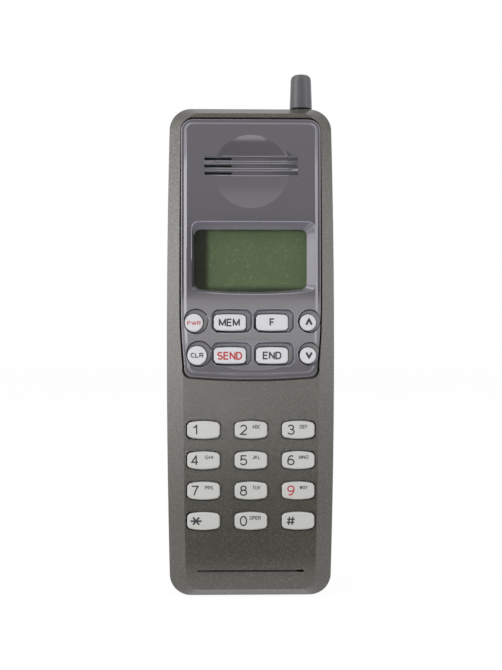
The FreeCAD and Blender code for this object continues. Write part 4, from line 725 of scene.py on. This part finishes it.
MITRE = 0.62            # least cosine by which a stroke's corner is drawn out
CLOSED = 0.001          # a stroke whose ends are nearer than this, in millimetres, is closed
INK_HEIGHT = 0.010      # over the key, in millimetres
INK_STEP = 0.001        # by which each further stroke lies higher, so that crossings don't flicker
INK_SINK = 0.02         # by which the ink reaches into the key
IN_FRONT = -0.05        # where the rays start that find the key's face


class Ink(Enum):
    """Colours that the keys are printed in."""

    DARK = "legend_dark"
    RED = "legend_red"


@dataclass(frozen=True)
class Legend:
    """One printed mark on a key, its sizes and its place from the key's middle in millimetres."""

    key: str
    text: str
    x: float
    z: float
    width: float
    height: float
    line: float
    ink: Ink = Ink.DARK

    def strokes(self) -> list[list[Vector]]:
        """Lay out the mark's letters.

        Returns:
            Their strokes, in millimetres about the mark's middle.
        """
        laid, pen = [], 0.0
        for letter in self.text:
            wide = max(x for stroke in GLYPHS[letter] for x, _ in stroke)
            laid += [[Vector((pen + x, y)) for x, y in stroke] for stroke in GLYPHS[letter]]
            pen += wide + LETTER_GAP
        span = max(point.x for stroke in laid for point in stroke)
        across = (self.width - self.line) / max(span, LEAST_SPAN)
        up = self.height - self.line
        return [
            [Vector(((point.x - span / 2) * across, (point.y - 0.5) * up)) for point in stroke]
            for stroke in laid
        ]

    @staticmethod
    def divided(stroke: list[Vector], step: float = 0.3) -> list[Vector]:
        """Return a stroke with points close enough to follow the key's curved face.

        Args:
            stroke: The stroke's points.
            step: The widest space between two points.

        Returns:
            The points with others between them.
        """
        points = [stroke[0]]
        for start, end in zip(stroke, stroke[1:]):
            pieces = max(1, math.ceil((end - start).length / step))
            points += [start.lerp(end, k / pieces) for k in range(1, pieces + 1)]
        return points

    def edges(self, points: list[Vector], closed: bool) -> list[tuple[Vector, Vector]]:
        """Return the left and right edge of a stroke at each of its points.

        Args:
            points: The stroke's middle line.
            closed: Whether its ends meet.

        Returns:
            Pairs of edge points.
        """
        count, half, pairs = len(points), self.line / 2, []
        for k, point in enumerate(points):
            before = points[(k - 1) % count] if closed or k > 0 else point
            after = points[(k + 1) % count] if closed or k < count - 1 else point
            into = (point - before).normalized() if point != before else (after - point).normalized()
            out = (after - point).normalized() if after != point else into
            side = Vector((-into.y - out.y, into.x + out.x)).normalized()
            reach = half / max(side.dot(Vector((-into.y, into.x))), MITRE)
            pairs.append((point + side * reach, point - side * reach))
        return pairs

    def make(self, count: int, ground: BVHTree, middle: Vector, materials: Materials) -> Piece:
        """Print the mark on its key.

        Args:
            count: A number that keeps the piece's name unique.
            ground: The key's surface.
            middle: The key's middle.
            materials: The finished materials by name.

        Returns:
            The mark as a thin piece that rides on the key.
        """
        shape = bmesh.new()
        middle = middle + Vector((self.x, 0.0, self.z)) * MM
        for layer, stroke in enumerate(self.strokes()):
            closed = (stroke[0] - stroke[-1]).length < CLOSED
            points = self.divided(stroke)
            pairs = self.edges(points[:-1] if closed else points, closed)
            rings = [
                [self._on_key(shape, ground, middle, edge, lift) for edge, lift in self._corners(pair, layer)]
                for pair in pairs
            ]
            for ring, following in zip(rings, rings[1:] + rings[:1] if closed else rings[1:]):
                for one, two in ((0, 1), (1, 2), (2, 3), (3, 0)):
                    shape.faces.new((ring[one], ring[two], following[two], following[one]))
            if not closed:
                shape.faces.new(rings[0])
                shape.faces.new(reversed(rings[-1]))
        bmesh.ops.recalc_face_normals(shape, faces=shape.faces)
        mesh = bpy.data.meshes.new(f"legend_{count:02d}")
        shape.to_mesh(mesh)
        shape.free()
        piece = placed(f"legend_{count:02d}", mesh)
        mesh.materials.append(materials[self.ink.value])
        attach(piece, self.key)
        return piece

    @staticmethod
    def _corners(pair: tuple[Vector, Vector], layer: int) -> list[tuple[Vector, float]]:
        """Return a stroke's four corners at one point, each with its height over the key."""
        high, low = (INK_HEIGHT + INK_STEP * layer) * MM, -INK_SINK * MM
        return [(pair[0], high), (pair[1], high), (pair[1], low), (pair[0], low)]

    @staticmethod
    def _on_key(
        shape: Shape, ground: BVHTree, middle: Vector, edge: Vector, lift: float
    ) -> bmesh.types.BMVert:
        """Add a vertex over the key's face.

        Args:
            shape: The mesh that is made.
            ground: The key's surface.
            middle: The key's middle.
            edge: The vertex's place about the middle, in millimetres.
            lift: Its height over the key.

        Returns:
            The vertex.
        """
        x, z = middle.x + edge.x * MM, middle.z + edge.y * MM
        hit = ground.ray_cast(Vector((x, IN_FRONT, z)), Vector((0.0, 1.0, 0.0)))[0]
        return shape.verts.new((x, hit.y - lift, z))


FUNCTION_LEGENDS = (
    Legend("key_power", "PWR", 0.0, -0.1, 4.8, 1.45, 0.27, Ink.RED),
    Legend("key_memory", "MEM", -0.2, 0.0, 7.4, 2.75, 0.52),
    Legend("key_function", "F", 0.0, 0.1, 1.85, 2.8, 0.52),
    Legend("key_clear", "CLR", 0.0, 0.1, 4.6, 1.75, 0.36),
    Legend("key_send", "SEND", -0.1, -0.1, 8.8, 2.85, 0.54, Ink.RED),
    Legend("key_end", "END", 0.0, 0.0, 6.6, 2.75, 0.52),
    Legend("key_up", "^", 0.35, 0.15, 2.7, 2.7, 0.75),
    Legend("key_down", "v", 0.35, 0.15, 2.7, 2.5, 0.75),
)
NUMBER_LETTERS = {
    "1": "", "2": "ABC", "3": "DEF", "4": "GHI", "5": "JKL", "6": "MNO", "7": "PRS", "8": "TUV", "9": "WXY",
    "star": "", "0": "OPER", "hash": "",
}
SIGNS = {"star": "*", "hash": "#"}
DIGIT_SIZE = (2.65, 3.65, 0.48)         # width, height and line
SIGN_SIZES = {"1": (1.7, 3.65, 0.48), "*": (4.5, 3.2, 0.62), "#": (3.3, 3.4, 0.5)}
DIGIT_X = -2.6
FAR_LEFT = {"1": -3.0, "4": -3.0, "7": -3.0}
LETTERS_X, LETTERS_Z = 1.9, 1.05
NEARER = {"0": 1.5}                     # the longest word starts further to the left
LETTERS_WIDTH, LETTERS_HEIGHT, LETTERS_LINE = 2.9, 1.36, 0.23
WIDER = {"MNO": 3.4, "OPER": 4.0}


def number_legends() -> list[Legend]:
    """Lay out the digits and letters of the twelve number keys.

    Returns:
        The marks.
    """
    marks = []
    for name, letters in NUMBER_LETTERS.items():
        sign, ink = SIGNS.get(name, name), Ink.RED if name == "9" else Ink.DARK
        size = SIGN_SIZES.get(sign, DIGIT_SIZE)
        marks.append(Legend("key_" + name, sign, FAR_LEFT.get(name, DIGIT_X), 0.0, *size, ink))
        if letters:
            marks.append(Legend("key_" + name, letters, NEARER.get(name, LETTERS_X), LETTERS_Z,
                                WIDER.get(letters, LETTERS_WIDTH), LETTERS_HEIGHT, LETTERS_LINE))
    return marks


# ---- repeated parts --------------------------------------------------------------------------------
@dataclass
class Rows:
    """Geometry Nodes that set one part at every crossing of rows and columns in an upright plane."""

    name: str
    body: str
    columns: int
    rows: int
    width: float
    height: float
    middle: Place

    def tree(self) -> bpy.types.NodeTree:
        """Build the tree, with named inputs for its sizes.

        Returns:
            The tree.
        """
        wiring, given, result = start_group(self.name + "_rows", Family.GEOMETRY, {
            "Part": "Object", "Columns": "Int", "Rows": "Int", "Width": "Float", "Height": "Float",
            "Middle": "Vector", "Finish": "Material",
        }, {"Parts": "Geometry"})
        grid = wiring.add("MeshGrid", {
            "Vertices X": given["Columns"], "Vertices Y": given["Rows"],
            "Size X": given["Width"], "Size Y": given["Height"],
        })
        points = wiring.add("Transform", {
            "Geometry": grid.outputs["Mesh"], "Translation": given["Middle"],
            "Rotation": (math.radians(90.0), 0.0, 0.0),
        }).outputs["Geometry"]
        part = wiring.add("ObjectInfo", {"Object": given["Part"]}).outputs["Geometry"]
        parts = wiring.add("InstanceOnPoints", {"Points": points, "Instance": part}).outputs["Instances"]
        real = wiring.add("RealizeInstances", {"Geometry": parts}).outputs["Geometry"]
        dressed = wiring.add("SetMaterial", {"Geometry": real, "Material": given["Finish"]})
        wiring.feed(result, {"Parts": dressed.outputs["Geometry"]})
        return wiring.tree

    def make(self, part: Mesh, finish: bpy.types.Material, node: str) -> Piece:
        """Set out the part and let the rows stand for a node.

        Args:
            part: The part's mesh about its own middle.
            finish: Its material.
            node: The node that the rows stand for.

        Returns:
            The rows as one plain piece.
        """
        source = placed(self.name + "_part", part)
        piece = placed(self.name, bpy.data.meshes.new(self.name))
        rows = piece.modifiers.new("rows", "NODES")
        rows.node_group = self.tree()
        values = {"Part": source, "Columns": self.columns, "Rows": self.rows, "Width": self.width,
                  "Height": self.height, "Middle": self.middle, "Finish": finish}
        for socket in rows.node_group.interface.items_tree:
            if socket.name in values:
                rows[socket.identifier] = values[socket.name]
        settle(piece)
        bpy.data.objects.remove(source)
        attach(piece, self.body)
        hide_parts(node)
        return piece


@dataclass
class CrossScrew:
    """Pan-head screw with a cross recess, turned about Y, its head to the back."""

    head_radius: float = 1.88 * MM
    shank_radius: float = 0.99 * MM
    head_back: float = 3.0 * MM
    head_front: float = 1.72 * MM
    end: float = -4.98 * MM
    edge: float = 0.3 * MM
    arm: float = 1.15 * MM
    slot: float = 0.26 * MM
    recess: float = 0.7 * MM
    taper: float = 0.8
    sides: int = 24

    def mesh(self) -> Mesh:
        """Build the screw about its own axis.

        Returns:
            Its mesh.
        """
        shape = bmesh.new()
        profile = (
            (self.head_radius - self.edge, self.head_back), (self.head_radius, self.head_back - self.edge),
            (self.head_radius, self.head_front), (self.shank_radius, self.head_front),
            (self.shank_radius, self.end + self.edge), (self.shank_radius - self.edge, self.end),
        )
        rings = [[self._at(shape, radius, y, k) for k in range(self.sides)] for radius, y in profile]
        for upper, lower in zip(rings, rings[1:]):
            for k in range(self.sides):
                following = (k + 1) % self.sides
                shape.faces.new((upper[k], upper[following], lower[following], lower[k]))
        shape.faces.new(rings[-1])
        a, s = self.arm, self.slot
        cross = ((a, s), (s, s), (s, a), (-s, a), (-s, s), (-a, s),
                 (-a, -s), (-s, -s), (-s, -a), (s, -a), (s, -s), (a, -s))
        mouth = [shape.verts.new((x, self.head_back, z)) for x, z in cross]
        deep = self.head_back - self.recess
        floor = [shape.verts.new((self.taper * x, deep, self.taper * z)) for x, z in cross]
        for k in range(len(cross)):
            following = (k + 1) % len(cross)
            shape.faces.new((mouth[k], mouth[following], floor[following], floor[k]))
        shape.faces.new(floor)
        rim = [edge for edge in shape.edges if len(edge.link_faces) == 1]
        bmesh.ops.triangle_fill(shape, edges=rim, use_beauty=True)
        bmesh.ops.recalc_face_normals(shape, faces=shape.faces)
        mesh = bpy.data.meshes.new("cross_screw")
        shape.to_mesh(mesh)
        shape.free()
        return mesh

    def _at(self, shape: Shape, radius: float, y: float, k: int) -> bmesh.types.BMVert:
        """Add one vertex of a ring."""
        angle = 2.0 * math.pi * k / self.sides
        return shape.verts.new((radius * math.cos(angle), y, radius * math.sin(angle)))


# ---- the telephone ---------------------------------------------------------------------------------
@dataclass
class SubAssembly:
    """Pieces that are dressed together: mouldings of the construction, and what is added to them."""

    frame: dict
    materials: Materials

    def mouldings(self) -> tuple[Moulding, ...]:
        """Return the mouldings."""
        return ()

    def others(self) -> list[Piece]:
        """Return what isn't a moulding."""
        return []

    def build(self) -> list[Piece]:
        """Return every piece."""
        return [part.make(self.frame, self.materials) for part in self.mouldings()] + self.others()


@dataclass
class Casing(SubAssembly):
    """Housings, faceplate and what is set into them."""

    housing_edge: float = 0.15 * MM
    faceplate_edge: float = 0.22 * MM
    faceplate_segments: int = 3
    faceplate_back: float = -9.2 * MM       # edges behind this stay sharp
    dish_rim: Place = (0.0, 151.5 * MM, 13.0 * MM)
    connector_edge: float = 0.1 * MM
    screw_head: float = 1.9 * MM

    def mouldings(self) -> tuple[Moulding, ...]:
        """Return the rounded shells."""
        return (
            Moulding("front_housing", "handset", "housing_grey", self.housing_edge),
            Moulding("rear_housing", "handset", "housing_grey", self.housing_edge),
            Moulding("faceplate", "handset", "faceplate_gloss", self.faceplate_edge, self.faceplate_segments,
                     back=self.faceplate_back, rim=self.dish_rim),
            Moulding("system_connector", "handset", "inner_plastic", self.connector_edge),
        )

    def others(self) -> list[Piece]:
        """Set the housing's screws.

        Returns:
            The screws as one piece.
        """
        low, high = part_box("housing_screws")
        wide, tall = (high[axis] - low[axis] - 2 * self.screw_head for axis in (0, 2))
        rows = Rows("cross_screws", "handset", 2, 2, wide, tall, (0.0, 0.0, (low[2] + high[2]) / 2))
        return [rows.make(CrossScrew().mesh(), self.materials["whip_steel"], "housing_screws")]


@dataclass
class Antenna(SubAssembly):
    """Tip of the whip and the bushing that it rests on."""

    tip_edge: float = 0.3 * MM
    tip_sharp: float = 35.0
    bushing_edge: float = 0.1 * MM

    def mouldings(self) -> tuple[Moulding, ...]:
        """Return the rounded tip and bushing."""
        return (
            Moulding("antenna_tip", "antenna", "antenna_plastic", self.tip_edge, sharp=self.tip_sharp),
            Moulding("antenna_bushing", "handset", "dark_metal", self.bushing_edge),
        )


@dataclass
class Battery(SubAssembly):
    """Slide-on battery and the catch that holds it."""

    tray_edge: float = 0.2 * MM
    cover_edge: float = 0.3 * MM
    catch_travel: float = 1.0 * MM

    def mouldings(self) -> tuple[Moulding, ...]:
        """Return the rounded tray, cover and catch."""
        return (
            Moulding("battery_tray", "battery", "battery_grey", self.tray_edge),
            Moulding("battery_cover", "battery", "battery_grey", self.cover_edge),
            Moulding("battery_catch", "catch", "catch_grey", self.cover_edge),
        )

    def others(self) -> list[Piece]:
        """Make a copy of the catch's spring, which rides on the catch.

        Returns:
            The spring.
        """
        name = "catch_spring"
        piece = placed(name + "_coils", self.frame["nodes"][name].data.copy())
        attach(piece, "catch")
        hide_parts(name)
        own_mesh(piece)
        return [piece]


@dataclass
class Keypad(SubAssembly):
    """Keys and their printed marks."""

    key_edge: float = 0.18 * MM
    crown: float = 0.5 * MM                 # depth of the face round its highest point

    def mouldings(self) -> tuple[Moulding, ...]:
        """Return the rounded keys, each of which rides on the body of its own name."""
        parts = ((part["node"], part["material_slot"]) for part in self.frame["record"]["subparts"])
        keys = ((node, finish) for node, finish in parts if node.startswith("key_"))
        return tuple(Moulding(node, node, finish, self.key_edge) for node, finish in keys)

    def build(self) -> list[Piece]:
        """Round the keys and print their marks.

        Returns:
            The keys, then the marks.
        """
        keys, faces = super().build(), {}
        graph = bpy.context.evaluated_depsgraph_get()
        for moulding, key in zip(self.mouldings(), keys):
            faces[moulding.node] = BVHTree.FromObject(key, graph), self.middle(key)
        marks = list(FUNCTION_LEGENDS) + number_legends()
        return keys + [mark.make(count, *faces[mark.key], self.materials) for count, mark in enumerate(marks)]

    def middle(self, key: Piece) -> Vector:
        """Find the middle of a key's face, from the part of it that stands out most.

        Args:
            key: The key.

        Returns:
            The middle.
        """
        front = min(vertex.co.y for vertex in key.data.vertices)
        face = [vertex.co for vertex in key.data.vertices if vertex.co.y < front + self.crown]
        xs, zs = [co.x for co in face], [co.z for co in face]
        return Vector(((min(xs) + max(xs)) / 2, front, (min(zs) + max(zs)) / 2))


@dataclass
class Telephone:
    """All that is seen of the telephone."""

    frame: dict
    groups: ShaderGroups
    materials: Materials = field(default_factory=dict)
    facing: float = 0.9                     # a face that looks to the front by more bears the cloth

    def finish_nodes(self) -> None:
        """Give every node its material and the microphone its cloth, and let light through the window."""
        self.materials = {finish.name: finish.make(self.groups) for finish in FINISHES}
        for part in self.frame["record"]["subparts"]:
            node = self.frame["nodes"][part["node"]]
            node.data.materials.clear()
            node.data.materials.append(self.materials[part["material_slot"]])
        capsule = self.frame["nodes"]["microphone"].data
        capsule.materials.append(self.materials["dust_cloth"])
        for polygon in capsule.polygons:
            polygon.material_index = 1 if polygon.normal.y < -self.facing else 0
        self.frame["nodes"]["display_window"].visible_shadow = False

    def build(self) -> list[Piece]:
        """Build the sub-assemblies in order.

        Returns:
            Their pieces.
        """
        pieces = []
        for assembly in (Casing, Antenna, Battery, Keypad):
            pieces += assembly(self.frame, self.materials).build()
        return pieces


# ---- studio ----------------------------------------------------------------------------------------
@dataclass(frozen=True)
class Studio:
    """White surroundings, what the glossy surfaces mirror, soft lamps and the camera."""

    middle: Place = (0.0, -0.0122, 0.09235)
    distance: float = 0.445
    azimuth: float = -1.5
    picture_height: float = 0.2338
    sensor: float = 36.0
    floor_half: float = 3.0
    floor_colour: Colour = (0.95, 0.95, 0.95, 1.0)
    floor_glow: float = 1.03
    floor_share: float = 0.9
    world_light: float = 0.62
    lamp_side: float = 0.9
    lamps: tuple[tuple[str, Place, float], ...] = (
        ("key_lamp", (-0.8, -0.6, 0.6), 7.0),
        ("fill_lamp", (0.8, -0.7, 0.7), 4.0),
    )
    cards: tuple[tuple[str, Place, Place, float], ...] = (
        ("screen", (-0.5, -0.5, 0.0), (0.5, -0.5, 0.5), 1.0),
        ("left_window", (-1.2, -0.9, 0.0), (-1.2, 0.4, 0.35), 3.4),
        ("right_window", (1.2, -0.9, 0.0), (1.2, 0.4, 0.35), 2.2),
        ("left_strip", (-0.3, -0.49, 0.0), (-0.03, -0.49, 0.034), 8.0),
        ("dark_table", (-0.2, -0.489, 0.001), (0.2, -0.04, 0.001), 0.03),
        ("left_table", (-1.2, -0.6, 0.001), (-0.2, 0.3, 0.001), 1.5),
    )
    screen: tuple[tuple[float, float], ...] = (
        (0.0, 3.0), (0.03, 3.0), (0.042, 0.6), (0.056, 0.4), (0.078, 2.2), (0.118, 2.3), (0.1215, 0.1),
        (0.18, 0.1), (0.2, 0.5), (0.25, 0.6), (0.3, 0.65), (0.34, 1.1), (0.5, 1.2),
    )

    @staticmethod
    def sheet(name: str, finish: str, low: Place, high: Place) -> tuple[Piece, Wiring]:
        """Add a level or upright rectangle that belongs to the studio.

        Args:
            name: Its name.
            finish: The name of its own material.
            low: Its lowest corner.
            high: Its highest corner.

        Returns:
            The sheet and the wiring of its material.
        """
        if low[2] == high[2]:
            corners = [low, (high[0], low[1], low[2]), high, (low[0], high[1], low[2])]
        else:
            corners = [low, (high[0], high[1], low[2]), high, (low[0], low[1], high[2])]
        mesh = bpy.data.meshes.new(name)
        mesh.from_pydata(corners, [], [(0, 1, 2, 3)])
        material = bpy.data.materials.new(finish)
        material.use_nodes = True
        mesh.materials.append(material)
        sheet = placed(name, mesh)
        return sheet, Wiring(material.node_tree)

    @staticmethod
    def show(wiring: Wiring, lit: Node, seen: Node, share: float, end: Node) -> None:
        """Let the eye, gloss and glass see one shader, while the telephone is lit by another.

        Args:
            wiring: The wiring of the floor or the world.
            lit: The shader that lights the telephone and takes its shadow.
            seen: The shader that is seen.
            share: How much of it is seen.
            end: The node that takes the result.
        """
        rays = wiring.add("LightPath").outputs
        mirrored = wiring.math("ADD", rays["Is Glossy Ray"], rays["Is Transmission Ray"])
        mask = wiring.math("ADD", rays["Is Camera Ray"], mirrored, use_clamp=True)
        mask = wiring.math("MULTIPLY", mask, share)
        mix = wiring.add("MixShader", {"Fac": mask, 1: lit.outputs[0], 2: seen.outputs[0]})
        wiring.feed(end, {"Surface": mix.outputs["Shader"]})

    def floor(self) -> None:
        """Lay the white floor."""
        half = self.floor_half
        _, wiring = self.sheet("floor", "floor_white", (-half, -half, 0.0), (half, half, 0.0))
        shader = wiring.tree.nodes["Principled BSDF"]
        wiring.feed(shader, {"Base Color": self.floor_colour, "Roughness": 0.9, "Specular IOR Level": 0.0})
        white = wiring.add("Emission", {"Color": WHITE, "Strength": self.floor_glow})
        self.show(wiring, shader, white, self.floor_share, wiring.tree.nodes["Material Output"])

    def world(self) -> None:
        """Set the white surroundings."""
        world = bpy.data.worlds.new("studio")
        bpy.context.scene.world = world
        world.use_nodes = True
        wiring = Wiring(world.node_tree)
        light = wiring.tree.nodes["Background"]
        wiring.feed(light, {"Color": WHITE, "Strength": self.world_light})
        white = wiring.add("Background", {"Color": WHITE})
        self.show(wiring, light, white, 1.0, wiring.tree.nodes["World Output"])

    def card(self, name: str, low: Place, high: Place, strength: float) -> tuple[Wiring, Node]:
        """Add a flat card that only glossy surfaces and glass mirror.

        Args:
            name: The card's name.
            low: Its lowest corner.
            high: Its highest corner.
            strength: Its brightness, where 1 is white.

        Returns:
            The wiring of its material and the node that glows.
        """
        card, wiring = self.sheet(name, name, low, high)
        wiring.tree.nodes.remove(wiring.tree.nodes["Principled BSDF"])
        glow = wiring.add("Emission", {"Color": WHITE, "Strength": strength})
        wiring.feed(wiring.tree.nodes["Material Output"], {"Surface": glow.outputs["Emission"]})
        card.visible_camera = card.visible_diffuse = card.visible_shadow = False
        return wiring, glow

    def shade_screen(self, wiring: Wiring, glow: Node) -> None:
        """Shade the screen from its foot to its top.

        Args:
            wiring: The wiring of the screen's material.
            glow: The node that glows.
        """
        top = self.screen[-1][0]
        height = wiring.add("SeparateXYZ", {0: wiring.add("TexCoord").outputs["Object"]}).outputs["Z"]
        share = wiring.add("MapRange", {"Value": height, "From Max": top}).outputs["Result"]
        ramp = wiring.add("ValToRGB", {"Fac": share})
        stops = ramp.color_ramp.elements
        while len(stops) < len(self.screen):
            stops.new(1.0)
        for stop, (place, value) in zip(stops, self.screen):
            stop.position = place / top
            stop.color = (value, value, value, 1.0)
        wiring.feed(glow, {"Color": ramp.outputs["Color"]})

    def aim(self, piece: Piece, place: Vector) -> None:
        """Set a lamp or the camera in its place and turn it to the telephone's middle.

        Args:
            piece: The lamp or the camera.
            place: Where it goes.
        """
        piece.location = place
        piece.rotation_mode = "QUATERNION"
        piece.rotation_quaternion = (Vector(self.middle) - place).to_track_quat("-Z", "Y")

    def lamp(self, name: str, place: Place, power: float) -> None:
        """Add a soft square lamp that shines at the telephone.

        Args:
            name: The lamp's name.
            place: Where it hangs.
            power: Its power in watts.
        """
        data = bpy.data.lights.new(name, "AREA")
        data.size = self.lamp_side
        data.energy = power
        self.aim(placed(name, data), Vector(place))

    def camera(self) -> None:
        """Set the camera at the level of the telephone's middle."""
        data = bpy.data.cameras.new("camera")
        data.sensor_width = self.sensor
        data.lens = self.sensor * self.distance / self.picture_height
        camera = placed("camera", data)
        turn = math.radians(self.azimuth)
        self.aim(camera, Vector(self.middle) + self.distance * Vector((math.sin(turn), -math.cos(turn), 0.0)))
        bpy.context.scene.camera = camera

    def build(self) -> None:
        """Set up the studio."""
        self.world()
        self.floor()
        glows = {name: self.card(name, *card) for name, *card in self.cards}
        self.shade_screen(*glows["screen"])
        for lamp in self.lamps:
            self.lamp(*lamp)
        self.camera()
        bpy.context.scene.view_settings.view_transform = "Standard"


def main() -> None:
    """Build the studio and the telephone."""
    logging.basicConfig(level=logging.INFO, format="%(message)s")
    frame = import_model()
    Studio().build()
    telephone = Telephone(frame, ShaderGroups())
    telephone.finish_nodes()
    for piece in telephone.build():
        LOG.info("%s: %d faces", piece.name, len(piece.data.polygons))


if __name__ == "__main__":
    main()
